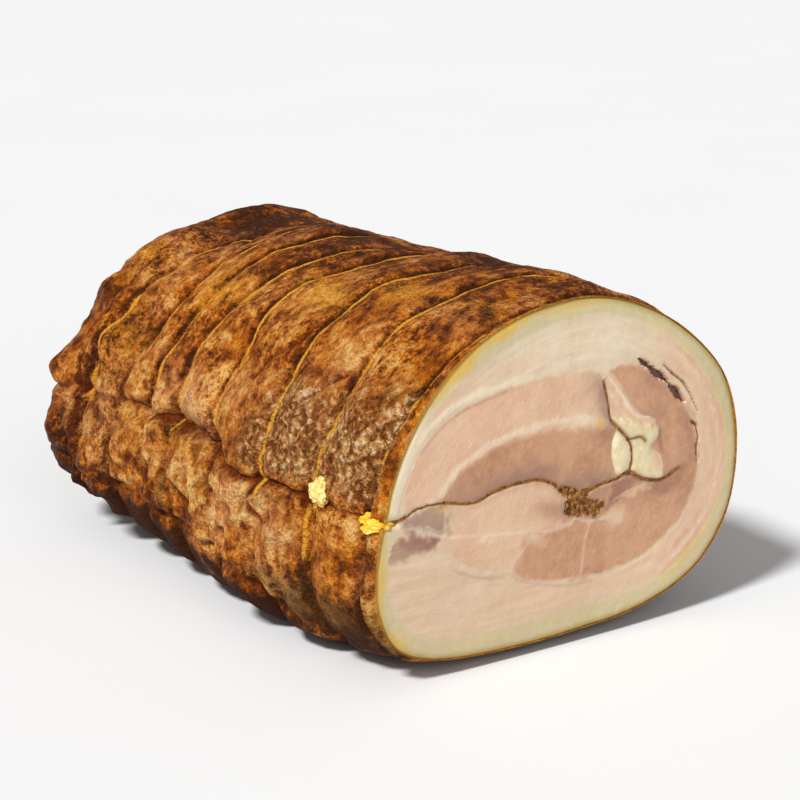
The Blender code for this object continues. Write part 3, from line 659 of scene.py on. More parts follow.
def end_face(last, marks_seen, skin):
    """Rings that close the rear end, rolled in on itself like the rest, with the browned coil showing."""
    middle = last[:-1].mean(axis=0)
    rings = []
    turn = np.unwrap(np.arctan2(last[:, 2] - middle[2], last[:, 1] - middle[1]))
    for k in range(1, END_FACE_RINGS + 1):
        size = 1 - k / END_FACE_RINGS
        ring = middle + (last - middle) * size
        wander = 0.07 * waves(ring / MM, 14, 22, 2)
        coil = (size * COIL_TURNS + wander + (turn - turn[0]) / (2 * math.pi)) % 1.0
        crease = bell(np.minimum(coil, 1 - coil), COIL_CREASE_WIDTH)
        rough = waves(ring / MM, 9, 21, 3)
        swell = COIL_SWELL * (1 - (2 * coil - 1) ** 2) + 1.3 * rough - COIL_CREASE_DEPTH * crease
        ease = min(k / 5.0, 1.0) * min(size * 6, 1.0)
        ring[:, 0] -= swell * ease * MM
        ring[:, 0] = np.maximum(ring[:, 0], CAD_BOX[0].x - END_FACE_BULGE * MM)
        rings.append(ring)
        for key in marks_seen:
            kept = 1.0 if key == "height" else END_FACE_FADE
            # The coil's creases take the crevice mark, which paints them darker as shade.
            row = {"crevice": crease * ease * 0.7, "rear": 1.0}.get(key, kept * marks_seen[key][-1])
            row = np.broadcast_to(row, last.shape[:1])
            marks_seen[key] = np.concatenate([marks_seen[key], row[None]])
        skin = np.concatenate([skin, (skin[-1] * [1, 0.987, 1] + [1.6, 0, 0])[None]])
    return np.array(rings), marks_seen, skin


# Meshes

def deselect():
    """Nothing is selected and nothing is in edit mode."""
    if bpy.context.mode != "OBJECT":
        bpy.ops.object.mode_set(mode="OBJECT")
    bpy.ops.object.select_all(action="DESELECT")


def make_active(piece):
    """The piece alone is selected."""
    deselect()
    piece.select_set(True)
    bpy.context.view_layer.objects.active = piece


def add_grid(name, rows, columns):
    """A plain grid with that many points each way, to be bent into place."""
    deselect()
    bpy.ops.mesh.primitive_grid_add(x_subdivisions=columns - 1, y_subdivisions=rows - 1, size=1.0)
    piece = bpy.context.object
    piece.name = name
    piece.data.name = name
    return piece


def move_points(piece, points):
    """Moves the mesh's points to the given places."""
    piece.data.vertices.foreach_set("co", np.ascontiguousarray(points, dtype=np.float32).ravel())
    piece.data.update()


def note_values(piece, values):
    """Keeps a value, or a place in three numbers, at each point of the mesh for the finish to read."""
    for name, value in values.items():
        kind = "FLOAT_VECTOR" if value.ndim == 2 else "FLOAT"
        layer = piece.data.attributes.new(name, kind, "POINT")
        field = "vector" if value.ndim == 2 else "value"
        layer.data.foreach_set(field, np.ascontiguousarray(value, dtype=np.float32).ravel())


def edit(piece, kind="VERT"):
    """Opens a piece for editing with nothing selected."""
    make_active(piece)
    bpy.ops.object.mode_set(mode="EDIT")
    bpy.ops.mesh.select_mode(type=kind)
    bpy.ops.mesh.select_all(action="DESELECT")


def select_open_edges():
    """The open edges of the mesh are selected."""
    bpy.ops.mesh.select_non_manifold(extend=False, use_wire=False, use_boundary=True,
                                     use_multi_face=False, use_non_contiguous=False, use_verts=False)


def close_behind(depth, taper=None):
    """Draws the selected open edges back by that many mm, perhaps tapered, and closes them there."""
    bpy.ops.mesh.extrude_edges_move(TRANSFORM_OT_translate={"value": (-depth * MM, 0, 0)})
    if taper is not None:
        bpy.ops.transform.resize(value=(1, taper, taper), center_override=ROLL_MIDDLE)
    bpy.ops.mesh.edge_face_add()
    bpy.ops.mesh.select_all(action="SELECT")
    bpy.ops.mesh.normals_make_consistent(inside=False)


def finish_piece(piece, material, slot, *nodes):
    """Shades, dresses and fastens a finished piece, which stands for the given solids."""
    make_active(piece)
    bpy.ops.object.shade_smooth_by_angle(angle=math.radians(SHADE_ANGLE))
    deselect()
    piece.data.materials.clear()
    piece.data.materials.append(material)
    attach(piece, "root")
    if nodes:
        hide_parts(*nodes)


def build_rind(material):
    """The browned outside of the roll, closed just behind the cut."""
    surface = RindSurface()
    points = place(surface.behind, surface.out_y, surface.out_z)
    skin = np.stack([surface.behind, surface.arc, surface.relief * 2], -1)
    more, marks_seen, skin = end_face(points[-1], surface.marks_seen(), skin)
    points = np.concatenate([points, more])
    rows, columns = points.shape[:2]
    piece = add_grid("roast_rind", rows, columns)
    move_points(piece, points.reshape(-1, 3))
    values = {key: value.reshape(-1) for key, value in marks_seen.items()}
    values["skin"] = skin.reshape(-1, 3)
    note_values(piece, values)
    edit(piece)
    bpy.ops.mesh.select_all(action="SELECT")
    bpy.ops.mesh.remove_doubles(threshold=0.00001)
    bpy.ops.mesh.select_all(action="DESELECT")
    select_open_edges()
    close_behind(RIND_DEPTH, RIND_TAPER)
    finish_piece(piece, material, "rind_and_fat", "belly_wrap")


# The cut face

LAYER_NAMES = (
    'outside', 'outer_fat', 'belly_layer', 'lower_lean', 'upper_lean', 'inner_fat_fold', 'inner_fat_lobe',
    'herb_filling')
LAYER_OUTLINES = (FACE_OUTLINE, FAT_INNER, LOWER_LEAN, UPPER_LEAN, FAT_FOLD, FAT_LOBE)


def outside_strip(points, path):
    """How far each point lies outside a strip along a path of (y, z, half width); negative inside it."""
    path = np.array(path, float)
    best = np.full(len(points), FAR)
    for a, b in zip(path[:-1], path[1:]):
        run = b[:2] - a[:2]
        share = np.clip(((points - a[:2]) @ run) / (run @ run), 0, 1)
        off = points - a[:2] - share[:, None] * run
        best = np.minimum(best, np.hypot(off[:, 0], off[:, 1]) - a[2] - (b[2] - a[2]) * share)
    return best


def inside_depth(points, outline):
    """How deep each point lies inside a closed outline; negative outside it."""
    curve = smooth_curve(outline, 6, True)
    off = distance_to(points, curve, True)
    return np.where(is_inside(points, curve), off, -off)


def herb_gap(points):
    """How far each point lies outside the herb seam, whose line swells and thins; negative inside it."""
    flat = np.pad(points, ((0, 0), (0, 1)))
    half = np.interp(points[:, 0], HERB_SWELL_AT, HERB_SWELL) + 0.16 * waves(flat, 5.0, 45, 2)
    pocket = inside_depth(points, HERB_POCKET)
    return np.minimum.reduce([
        distance_to(points, smooth_curve(HERB_LINE, 5)) - HERB_THICKNESS * half,
        distance_to(points, smooth_curve(HERB_BRANCH, 5)) - BRANCH_THICKNESS * (half + 0.05),
        distance_to(points, smooth_curve(SEAM_MOUTH, 5)) - HERB_THICKNESS * half,
        0.7 * waves(flat, 2.6, 46, 2) - pocket])


def layer_of(points):
    """The number of the layer that each point of the face lies in."""
    result = np.zeros(len(points), int)
    for number, outline in enumerate(LAYER_OUTLINES, 1):
        result[is_inside(points, smooth_curve(outline, 6, True))] = number
    result[(herb_gap(points) < 0) & (result > 0)] = LAYER_NAMES.index("herb_filling")
    return result


def along_edges(points, across_row, across_column):
    """Each point's neighbours along the layers' edges: their sum and their number."""
    total = np.zeros_like(points)
    count = np.zeros(points.shape[:2])
    ahead, back = np.s_[:-1], np.s_[1:]
    for to, source, joined in (
            (np.s_[:, :-1], np.s_[:, 1:], across_row), (np.s_[:, 1:], np.s_[:, :-1], across_row),
            (ahead, back, across_column), (back, ahead, across_column)):
        total[to] += points[source] * joined[..., None]
        count[to] += joined
    return total, count


def face_grid():
    """Points over the cut face, moved so that the layers' edges run smoothly, and each cell's layer."""
    points = np.stack(np.meshgrid(np.arange(-93, 93, FACE_STEP), np.arange(-3, 139, FACE_STEP)), -1)
    centres = (points[:-1, :-1] + points[1:, 1:]) / 2
    cells = layer_of(centres.reshape(-1, 2)).reshape(centres.shape[:2])
    padded = np.pad(cells, 1)
    corners = np.stack([padded[:-1, :-1], padded[:-1, 1:], padded[1:, :-1], padded[1:, 1:]])
    on_edge = corners.max(0) != corners.min(0)
    on_rim = on_edge & (corners.min(0) == 0)
    across_row = padded[:-1, 1:-1] != padded[1:, 1:-1]
    across_column = padded[1:-1, :-1] != padded[1:-1, 1:]
    for _ in range(EDGE_SMOOTHING):
        total, count = along_edges(points, across_row, across_column)
        moved = points * 0.45 + 0.55 * total / np.maximum(count, 1)[..., None]
        points = np.where((on_edge & (count > 1))[..., None], moved, points)
    outline = smooth_curve(FACE_OUTLINE, 40, True)
    points[on_rim] = np.array([outline[np.argmin(np.hypot(*(outline - p).T))] for p in points[on_rim]])
    for _ in range(GRID_SMOOTHING):
        middle = (np.roll(points, 1, 0) + np.roll(points, -1, 0)
                  + np.roll(points, 1, 1) + np.roll(points, -1, 1)) / 4
        points = np.where(on_edge[..., None], points, middle)
        points[0], points[-1] = points[1], points[-2]
        points[:, 0], points[:, -1] = points[:, 1], points[:, -2]
    return points, cells


class FaceMarks:
    """What the finish of the cut face needs to know at each of its points."""

    def __init__(self, points):
        flat = np.pad(points, ((0, 0), (0, 1)))
        self.points = points
        self.y, self.z = points[:, 0], points[:, 1]
        self.soft = waves(flat, 9, 40, 3)
        self.fine = waves(flat, 3.2, 41, 2)
        self.grain = waves(flat, 1.5, 42, 2)
        self.warped = points + np.stack([self.soft, self.fine], -1) * 1.6
        self.rim = distance_to(points, smooth_curve(FACE_OUTLINE, 12, True), True)
        self.core_depth = inside_depth(points, FAT_INNER)
        self.upper = ramp(inside_depth(points, UPPER_LEAN) + 0.5 * self.fine, -0.5, 1.4)
        self.lower = ramp(inside_depth(points, LOWER_LEAN) + 0.7 * self.fine, -0.6, 1.6)
        self.lean = np.maximum(self.upper, self.lower)
        self.layer = (self.core_depth > 0) * (1 - self.lean)
        self.right_side = ramp(self.y, 30, 60)
        self.herb_edge = herb_gap(points)
        self.herb_side = np.clip(self.herb_edge, 0, None)
        self.fold_depth = inside_depth(points, FAT_FOLD)
        fold_top = ramp(self.z + 1.6 * self.fine + 0.3 * (self.y - 28), 82.6, 84.6)
        self.wedge = (self.fold_depth > -0.2) * fold_top
        self.above_seam = (self.upper * bell(self.herb_side, 6.5) * ramp(self.y, -64, -48)
                           * (0.8 + 0.5 * self.soft))

    def line(self, path):
        return distance_to(self.points, smooth_curve(path, 5))

    def strand(self, path, width):
        """A line of varying width along a path, frayed at its edges."""
        off = self.line(path) + 0.5 * self.fine + 0.2 * self.grain
        return 1 - ramp(off, width * (0.2 + 0.5 * self.soft), width * (1.5 + 0.5 * self.soft))

    def strands(self, table):
        return np.maximum.reduce([strength * self.strand(path, width) for strength, width, path in table])

    def patch(self, outline, frayed, low=-1.2, high=1.8):
        depth = inside_depth(self.points, outline)
        return ramp(depth + frayed * (self.fine + 0.5 * self.grain), low, high)

    def brown(self):
        """Dark muscle above the seam and round the lower right."""
        y, z = self.y, self.z
        over_streak = z - np.interp(y, STREAK_AT, STREAK_TOP) + 1.2 * self.soft + 0.6 * self.fine
        upper = self.upper * (1 - ramp(over_streak, -2.5, 0.9)) * 0.92
        over_line = z - np.interp(y, BROWN_TOP_AT, BROWN_TOP) + 0.8 * self.fine
        right_of = y + 2.2 * self.soft - 0.35 * (z - 40)
        lower = self.lower * ramp(right_of, -25, -20) * (1 - ramp(over_line, -0.5, 1.2)) * 0.86
        shaded = self.lower * blob(self.warped, (-4, 52), 15, 6, -10) * 0.5
        return np.maximum.reduce([upper, lower, shaded]) * (1 - 0.9 * self.wedge)

    def peach(self, brown):
        """Peach flesh towards the outside, in bands on the right."""
        y, z, layer = self.y, self.z, self.layer
        bands = 0.74 + 0.24 * np.sin((self.core_depth + 0.9 * self.soft) * 1.05 + 0.8)
        inward = ramp(y, -60, -10)
        return np.maximum.reduce([
            self.upper * 0.9, self.lower * ramp(y, -60, -54) * 0.78, self.lower * 0.45,
            self.wedge * 0.5, brown * 0.9, layer * soft_spots(self.points, PEACH_SPOTS),
            layer * self.right_side * bands, 0.42 * layer * ramp(-z, -44, -30) * inward,
            0.30 * layer * ramp(-z, -50, -40) * (1 - inward)])

    def purple(self):
        """Purple meat beside the seam and in the hollows, and painted shadow under the lobes."""
        # Painted shadow: thin dark lines under the lobes.
        shadows = [0.42 * bell(self.line(path), 0.7) for path in LOBE_SHADOWS]
        outlines = [self.patch(outline, 1.3) * strength
                    for strength, outline in zip(PURPLE_STRENGTHS, PURPLE_PATCHES)]
        beside_fold = outside_strip(self.points, DARK_BESIDE_FOLD) + 0.3 * self.fine
        seam = self.above_seam * ramp(self.y, -50, -38) * (1 - ramp(self.y, 4, 20))
        purple = np.maximum.reduce([
            *shadows, *outlines, 0.42 * seam, 0.8 * (1 - ramp(beside_fold, -0.4, 1.2)),
            soft_spots(self.warped, PURPLE_SPOTS)])
        return purple * np.maximum(self.lean, 0.8 * (self.core_depth > 0))

    def grey(self):
        """Grey, well done meat along the seam."""
        beside_seam = self.lower * bell(self.herb_side, 2.2) * ramp(self.y, -46, -36)
        grey = np.maximum.reduce([
            1.1 * self.patch(GREY_PATCHES[0], 2.4, -4.2, 3.0), 0.75 * self.patch(GREY_PATCHES[1], 0.8),
            1.1 * self.above_seam * (1 - ramp(self.y, 22, 26)), 0.4 * beside_seam,
            soft_spots(self.warped, GREY_SPOTS)])
        return grey * np.maximum(self.lean, ramp(-self.y, 56, 62))

    def white(self):
        """White seams between the muscles, and pale fat."""
        y, z = self.y, self.z
        fascia = 0.85 * self.strand(WHITE_FASCIA, 1.5) * (1 - 0.65 * ramp(y, -40, -10))
        on_right = []
        broken = ramp(self.fine + 0.8 * self.soft, -0.4, 0.3)
        for shift, strength in LAYER_LINES:
            line = bell(self.core_depth - shift + 1.2 * self.soft, 0.6) * broken
            on_right.append(strength * line * self.layer * self.right_side)
        under_rind = (1 - ramp(self.rim, 4.4, 5.6)) * ramp(self.rim, 0.9, 1.6)
        return np.maximum.reduce([
            fascia, self.strands(WHITE_STRANDS), soft_spots(self.warped, WHITE_SPOTS), *on_right,
            0.5 * self.layer * blob(self.warped, (16, 115), 40, 9, -4),
            0.8 * under_rind * (1 - ramp(y, -74, -60)) * ramp(z, 62, 66)])

    def cleft(self):
        """The two clefts, painted dark as shade, and the row of pits beside them."""
        gaps = []
        for path, frayed in zip(CLEFTS, (0.9, 0.15, 0.3)):
            gap = outside_strip(self.points, path) + frayed * (0.5 * self.fine + 0.8 * self.grain)
            gaps.append(1 - ramp(gap, -0.35, 0.35))
        return np.maximum.reduce(gaps)

    def layers(self):
        """The depth and the place along the layers, for streaks that follow them."""
        low_left = ramp(-self.z, -60, -46) * ramp(-self.y, -10, 20)
        depth = distance_to(self.points, smooth_curve(BELLY_EDGE, 8))
        depth = depth * (1 - low_left) + (self.z - 8.5) * low_left
        return np.stack([depth, self.y, np.zeros(len(depth))], -1)

    def values(self):
        """The marks by name; those from 0 to 1 are clipped."""
        y, z, soft, fine = self.y, self.z, self.soft, self.fine
        brown = self.brown()
        outer_line = distance_to(self.points, smooth_curve(OUTER_LINE, 8)) + 0.5 * fine
        herbs = np.clip(np.minimum(self.herb_edge, self.line(HERB_HOOK) - 0.3), 0, None)
        creamy = np.maximum(self.fold_depth, inside_depth(self.points, FAT_LOBE)) > -0.1
        # Painted shade: the face is drawn darker towards its lower left and its right.
        in_shade = np.maximum(ramp(-z, -58, -34) * (1 - ramp(y, 6, 40)), ramp(y, 54, 74))
        marks = {
            "rim": self.rim / 20, "core": ramp(self.core_depth + 0.9 * soft, -1.8, 1.4),
            "peach": self.peach(brown), "brown": brown, "purple": self.purple(), "grey": self.grey(),
            "white": self.white(), "golden": soft_spots(self.warped, GOLDEN_SPOTS),
            "outer_line": bell(outer_line, 0.6), "cleft": self.cleft(),
            "stain": np.exp(-herbs / (0.6 + 0.3 * soft)), "hook": bell(self.line(HERB_HOOK), 0.5),
            "cream": creamy - self.wedge, "tint": blob(self.warped, (46.2, 64), 3.2, 4.0, 30),
            "lean": self.lean, "shade": in_shade * (0.8 + 0.3 * soft)}
        values = {name: np.clip(value, 0, 1) for name, value in marks.items()}
        stroke = self.points @ np.array([[0.62, 0.78], [0.78, -0.62]])
        values["layers"] = self.layers()
        values["strokes"] = np.pad(stroke, ((0, 0), (0, 1)))
        return values


def face_heights(points, values):
    """How far each point of the cut stands out, in mm."""
    flat = np.pad(points, ((0, 0), (0, 1)))
    height = 0.35 * waves(flat, 26, 50, 2) + 0.12 * waves(flat, 4, 51, 2)
    height -= RIM_ROUNDING * np.exp(-values["rim"] * 20 / 0.9)
    height -= CLEFT_DEPTH * values["cleft"]
    for outline in (FAT_FOLD, FAT_LOBE):
        depth = np.clip(inside_depth(points, outline), 0, None)
        height += CREAM_HEIGHT * (1 - np.exp(-depth / 1.8)) * values["cream"]
    pocket = is_inside(points, smooth_curve(HERB_POCKET, 5, True))
    height -= 0.5 * (herb_gap(points) < 0.1) * (1 - pocket)
    height -= MOUTH_DEPTH * bell(distance_to(points, smooth_curve(SEAM_MOUTH, 5)), 1.2)
    height += pocket * (-0.3 + 1.5 * waves(flat, 1.7, 52, 2))
    height -= 0.5 * values["hook"]
    return height + 0.2 * values["white"] * (1 - values["cleft"])


def build_face(materials):
    """The layers of the cut face, each a bar that runs back into the roll."""
    points, cells = face_grid()
    rows, columns = points.shape[:2]
    flat = points.reshape(-1, 2)
    values = FaceMarks(flat).values()
    world = place(-face_heights(flat, values), flat[:, 0], flat[:, 1])
    for number, name in enumerate(LAYER_NAMES[1:], 1):
        is_ring = name == "outer_fat"
        piece = add_grid("cut_" + name, rows, columns)
        move_points(piece, world)
        note_values(piece, values)
        edit(piece, "FACE")
        bpy.ops.object.mode_set(mode="OBJECT")
        piece.data.polygons.foreach_set("select", (cells != number).reshape(-1))
        bpy.ops.object.mode_set(mode="EDIT")
        bpy.ops.mesh.delete(type="FACE")
        bpy.ops.mesh.select_mode(type="EDGE")
        select_open_edges()
        close_behind(FAT_RING_DEPTH if is_ring else LAYER_DEPTH, FAT_RING_TAPER if is_ring else None)
        finish_piece(piece, *materials[name], "belly_wrap" if is_ring else name)


def build_bead(name, centre, half_sizes, seed, material, node):
    """A lump of rendered fat squeezed out of the seam, ragged with flat flakes."""
    deselect()
    bpy.ops.mesh.primitive_ico_sphere_add(subdivisions=6, radius=1.0)
    piece = bpy.context.object
    piece.name = name
    base = np.array([v.co for v in piece.data.vertices])
    broad = waves(base, 0.9, seed, 2)
    ragged = 1 - np.abs(waves(base * [1.0, 1.0, 1.3], 0.8, seed + 1, 2))
    fine = waves(base, 0.25, seed + 2, 2)
    radius = 0.94 + 0.30 * broad + 0.34 * (ragged ** 2 - 0.6) + 0.05 * fine
    middle = place(*[np.array(v, float) for v in centre])
    move_points(piece, middle + base * radius[:, None] * np.array(half_sizes) * MM)
    note_values(piece, {"crease": np.clip(0.75 - ragged * 0.6 - 0.5 * broad, 0, 1)})
    finish_piece(piece, material, "fat_beads", node)


# Finishes

# Colours as seen on a screen, from 0 to 255; a row of tones starts with each tone's place on it
RIND_TONES = (
    (0, 68, 30, 4), (0.25, 134, 65, 6), (0.5, 190, 100, 14), (0.75, 220, 138, 40), (1, 252, 194, 106))
# tan tones of a painted sheen
TAN_SHEEN_TONES = ((0, 88, 38, 6), (0.5, 204, 136, 86), (1, 248, 200, 148))
# blistered skin: its own browns, dark in the hollows as painted shade and near white on the tops as painted
# glints
ROUGH_SHADE_AND_GLINT_TONES = (
    (0, 104, 58, 24), (0.3, 152, 92, 44), (0.6, 198, 135, 76), (0.85, 220, 166, 106), (1, 246, 214, 168))
GOLD_STAIN = (246, 170, 46)
PALE_TONES = ((206, 132, 40), (248, 212, 130))
CHARRED_SPECKS = (58, 32, 8)
# painted shade in the hollows of the crumpled skin
HOLLOW_SHADE = (112, 44, 0)
# painted shade in the seam's crevice, the tuck, the cracks and the coil's creases
CREVICE_SHADE = (112, 42, 0)
STRING_GOLD = (250, 178, 54)
RIM_GOLD = (214, 146, 44)
FAT_TONES = ((212, 184, 152), (226, 206, 178))
FAT_LIGHT = (232, 216, 192)
OUTER_TONES = ((178, 158, 96), (206, 190, 148))
OUTER_FLECKS = (196, 182, 146)
PINK_TONES = ((225, 187, 153), (215, 167, 134))
MEAT_TONES = ((201, 149, 112), (179, 123, 88))
PALE_FIBRE = (238, 212, 188)
GREY_MEAT = (148, 118, 102)
# purple meat, and the painted shadow under the lobes
PURPLE_MEAT_AND_SHADOW = (146, 98, 82)
WHITE_SEAM = (236, 218, 190)
CREAM_TONES = ((216, 200, 152), (234, 220, 184))
CREAM_TINT = (222, 168, 120)
GOLDEN_FAT = (218, 174, 52)
GOLDEN_LINE = (222, 200, 116)
HERB_STAIN = (150, 92, 26)
HOOK_BROWN = (112, 66, 18)
# painted shade in the clefts
CLEFT_SHADE = (100, 60, 50)
SHADE_BROWN = (150, 96, 60)
EDGE_TONES = ((120, 66, 16), (206, 160, 58))
HERB_TONES = ((96, 52, 12), (166, 108, 34))
HERB_SPECKS = (66, 36, 8)
YELLOW_BEAD = ((246, 190, 40), (196, 116, 10))
PALE_BEAD = ((240, 208, 120), (206, 140, 48))
FLOOR_TONES = ((0.76, 0.76, 0.76, 1), (0.79, 0.79, 0.79, 1))      # linear


class Wire:
    """A socket of a material's node tree. Arithmetic on it adds Math nodes."""

    def __init__(self, tree, socket):
        self.tree = tree
        self.socket = socket

    def math(self, operation, other, swap=False):
        first, second = (other, self) if swap else (self, other)
        return self.tree.node("ShaderNodeMath", {"operation": operation}, {0: first, 1: second})

    def __add__(self, other):
        return self.math("ADD", other)

    def __sub__(self, other):
        return self.math("SUBTRACT", other)

    def __rsub__(self, other):
        return self.math("SUBTRACT", other, True)

    def __mul__(self, other):
        return self.math("MULTIPLY", other)

    def clamp(self):
        return self.tree.node("ShaderNodeClamp", {}, {0: self})

    def step(self, low, high):
        """Smoothly 0 below low and 1 above high."""
        settings = {"interpolation_type": "SMOOTHSTEP"}
        return self.tree.node("ShaderNodeMapRange", settings, {0: self, 1: low, 2: high})


class Finish:
    """A material's node tree around one Principled shader."""

    def __init__(self, name, **constants):
        self.material = bpy.data.materials.new(name)
        self.material.use_nodes = True
        self.nodes = self.material.node_tree.nodes
        self.links = self.material.node_tree.links
        self.shader = self.nodes["Principled BSDF"]
        for socket, value in constants.items():
            self.shader.inputs[socket.replace("_", " ")].default_value = value

    def fill(self, socket, value):
        """Links a socket to a wire, or sets it to a value."""
        if isinstance(value, Wire):
            self.links.new(value.socket, socket)
        else:
            socket.default_value = value

    def node(self, kind, settings=None, inputs=None, output=0):
        made = self.nodes.new(kind)
        for key, value in (settings or {}).items():
            setattr(made, key, value)
        for key, value in (inputs or {}).items():
            self.fill(made.inputs[key], value)
        return Wire(self, made.outputs[output])

    def value(self, name):
        """A value noted at the mesh's points."""
        return self.node("ShaderNodeAttribute", {"attribute_name": name}, output="Fac")

    def values(self, names):
        return [self.value(name) for name in names.split()]

    def spot(self, name):
        """A place noted at the mesh's points."""
        return self.node("ShaderNodeAttribute", {"attribute_name": name}, output="Vector")

    def where(self):
        """The place on the object, in metres."""
        return self.node("ShaderNodeTexCoord", output="Object")

    def stretched(self, vector, scale):
        return self.node("ShaderNodeMapping", {}, {"Vector": vector, "Scale": scale})

    def noise(self, vector, scale, detail=4.0, roughness=0.55, distortion=0.0):
        return self.node("ShaderNodeTexNoise", {}, {
            "Vector": vector, "Scale": scale, "Detail": detail, "Roughness": roughness,
            "Distortion": distortion})

    def cells(self, vector, scale, feature="F1"):
        return self.node("ShaderNodeTexVoronoi", {"feature": feature}, {"Vector": vector, "Scale": scale})

    def mix(self, first, second, share):
        """One colour turning into another."""
        made = self.nodes.new("ShaderNodeMix")
        made.data_type = "RGBA"
        self.fill(made.inputs[0], share)
        self.fill(made.inputs[6], as_shader_colour(first))
        self.fill(made.inputs[7], as_shader_colour(second))
        return Wire(self, made.outputs[2])

    def tint(self, below, colour, share):
        """A colour laid over what is below it, as strongly as its share says."""
        return self.mix(below, colour, share.clamp())

    def ramp(self, share, tones):
        """A colour read off a row of tones."""
        made = self.nodes.new("ShaderNodeValToRGB")
        steps = made.color_ramp.elements
        for number, (place_on_ramp, *colour) in enumerate(tones):
            step = steps[number] if number < len(steps) else steps.new(place_on_ramp)
            step.position = place_on_ramp
            step.color = srgb(*colour)
        self.links.new(share.socket, made.inputs[0])
        return Wire(self, made.outputs[0])

    def bump(self, height, strength, distance):
        return self.node("ShaderNodeBump", {}, {"Height": height, "Strength": strength, "Distance": distance})

    def dress(self, **wires):
        for key, wire in wires.items():
            self.links.new(wire.socket, self.shader.inputs[key.replace("_", " ")])
        return self.material


def srgb(*channels):
    """A colour as seen on a screen as the linear colour that shaders take."""
    shares = [c / 255 for c in channels]
    return (*[c / 12.92 if c <= 0.04045 else ((c + 0.055) / 1.055) ** 2.4 for c in shares], 1.0)


def as_shader_colour(value):
    """Three numbers as a shader's colour; wires and linear colours as they are."""
    return srgb(*value) if isinstance(value, tuple) and len(value) == 3 else value


def rind_finish():
    """Browned rind: mottled dark to light with a tan painted sheen, painted shade in crevices, dents and
    hollows, wrinkled where it blistered with painted shade and glints, and golden string marks.
    """
    f = Finish("browned_rind", Specular_IOR_Level=0.12)
    where = f.where()
    ridge, dent, crevice, underside, hollow, light, rear = f.values(
        "ridge dent crevice underside hollow light rear")
    patches = f.noise(where, 62.0, 6.0, 0.68)
    lumps = f.noise(where, 200.0, 4.0, 0.6)
    speckle = f.noise(where, 620.0, 3.0, 0.7)
    streaks = f.noise(f.stretched(f.spot("skin"), (0.34, 0.13, 0.13)), 1.0, 3.0, 0.55)
    broad = f.noise(where, 22.0, 4.0, 0.6)
    spots = f.noise(where, 34.0, 3.0, 0.6)
    pebbles = 1 - f.cells(where, 400.0, "SMOOTH_F1") * 1.7
    creases = f.noise(where, 150.0, 4.0, 0.6, 0.5)
    folds = (1 - ((creases - 0.5) * 12.0).math("ABSOLUTE", 0)).clamp()
    blister = (f.value("blister") + (patches - 0.5) * 2.0 + (broad - 0.5) * 1.6).step(0.2, 1.1)

    # From dark to light, with painted shade in crevices, dents and hollows, and the same in tan as a painted
    # sheen where the skin is smooth and pale
    grain = spots.step(0.40, 0.62) * 0.26 + 0.10
    tone = patches * 0.36 + streaks * 0.15 + lumps * 0.26 + (speckle - 0.5) * grain + 0.115
    # Painted shade: darker in the crevices and in the dents beside the string marks; lighter on the light
    # patches, partly a painted sheen.
    tone = tone + light * 0.035 - f.value("char") * 0.07 - crevice * 0.05 - dent * 0.085
    # Darker on the underside, from browner rind and painted shade, in the hollows as painted shade, and a
    # little towards the rear as painted shade where the end turns away.
    tone = tone - underside * 0.175 - rear * 0.025 - hollow * 0.06
    tone = tone - f.value("height").step(0.87, 1.0) * 0.035 + (broad - 0.5) * 0.12
    tone = tone.step(0.375, 0.605)
    # A tan painted sheen on the smooth, light patches, kept off the underside.
    sheen_share = (broad.step(0.5, 0.62) * 0.26 + light * 0.55) * (1 - underside)
    base = f.tint(f.ramp(tone, RIND_TONES), f.ramp(tone, TAN_SHEEN_TONES), sheen_share)
    # The blisters follow the bump's pattern: painted shade in their hollows and painted glints on their tops.
    crumple_shade_and_glint = pebbles * 0.55 + speckle * 0.9 + lumps * 0.5 + patches - folds * 0.35 - 0.81
    base = f.tint(base, f.ramp(crumple_shade_and_glint.step(0.0, 0.86), ROUGH_SHADE_AND_GLINT_TONES), blister * 0.9)

    # Gold, pale skin, specks, painted shade in the folds' hollows and crevices, and the marks of strings
    gold = f.value("gold") * (patches * 0.6 + speckle * 0.4).step(0.40, 0.58)
    base = f.tint(base, GOLD_STAIN, gold * 0.62)
    pale = f.value("pale") * (spots * 0.5 + lumps * 0.5).step(0.44, 0.54) * (1 - hollow)
    base = f.tint(base, f.mix(*PALE_TONES, (patches * 0.5 + lumps * 0.5).step(0.42, 0.6)), pale * 0.8)
    base = f.tint(base, CHARRED_SPECKS, (speckle * 0.55 + lumps * 0.45).step(0.57, 0.65) * 0.6)
    # Painted shade in the hollows of the crumpled skin.
    base = f.tint(base, HOLLOW_SHADE, hollow * 0.55)
    # Painted shade in the seam's crevice, the tuck, the cracks and the end coil's creases.
    base = f.tint(base, CREVICE_SHADE, crevice.step(0.3, 0.85) * (0.8 - gold * 0.8))
    base = f.tint(base, STRING_GOLD, (ridge * (speckle * 1.2 + 0.45)).step(0.28, 0.66) * 0.88)
    base = f.tint(base, RIM_GOLD, (f.value("rim_near") * (patches + 0.4)).step(0.25, 0.8) * 0.7)
    bumps = lumps * 1.1 + speckle * 0.5 + patches * 1.1 + (pebbles * 0.3 - folds * 0.2) * blister
    glossy = (patches.step(0.5, 0.62) * 0.16 + rear * 0.12 + blister * 0.12).clamp()
    rough = (0.46 - glossy + speckle * 0.25 + dent * 0.3 + underside * 0.25).clamp()
    return f.dress(Base_Color=base, Roughness=rough, Normal=f.bump(bumps, 1.0, 0.0075))


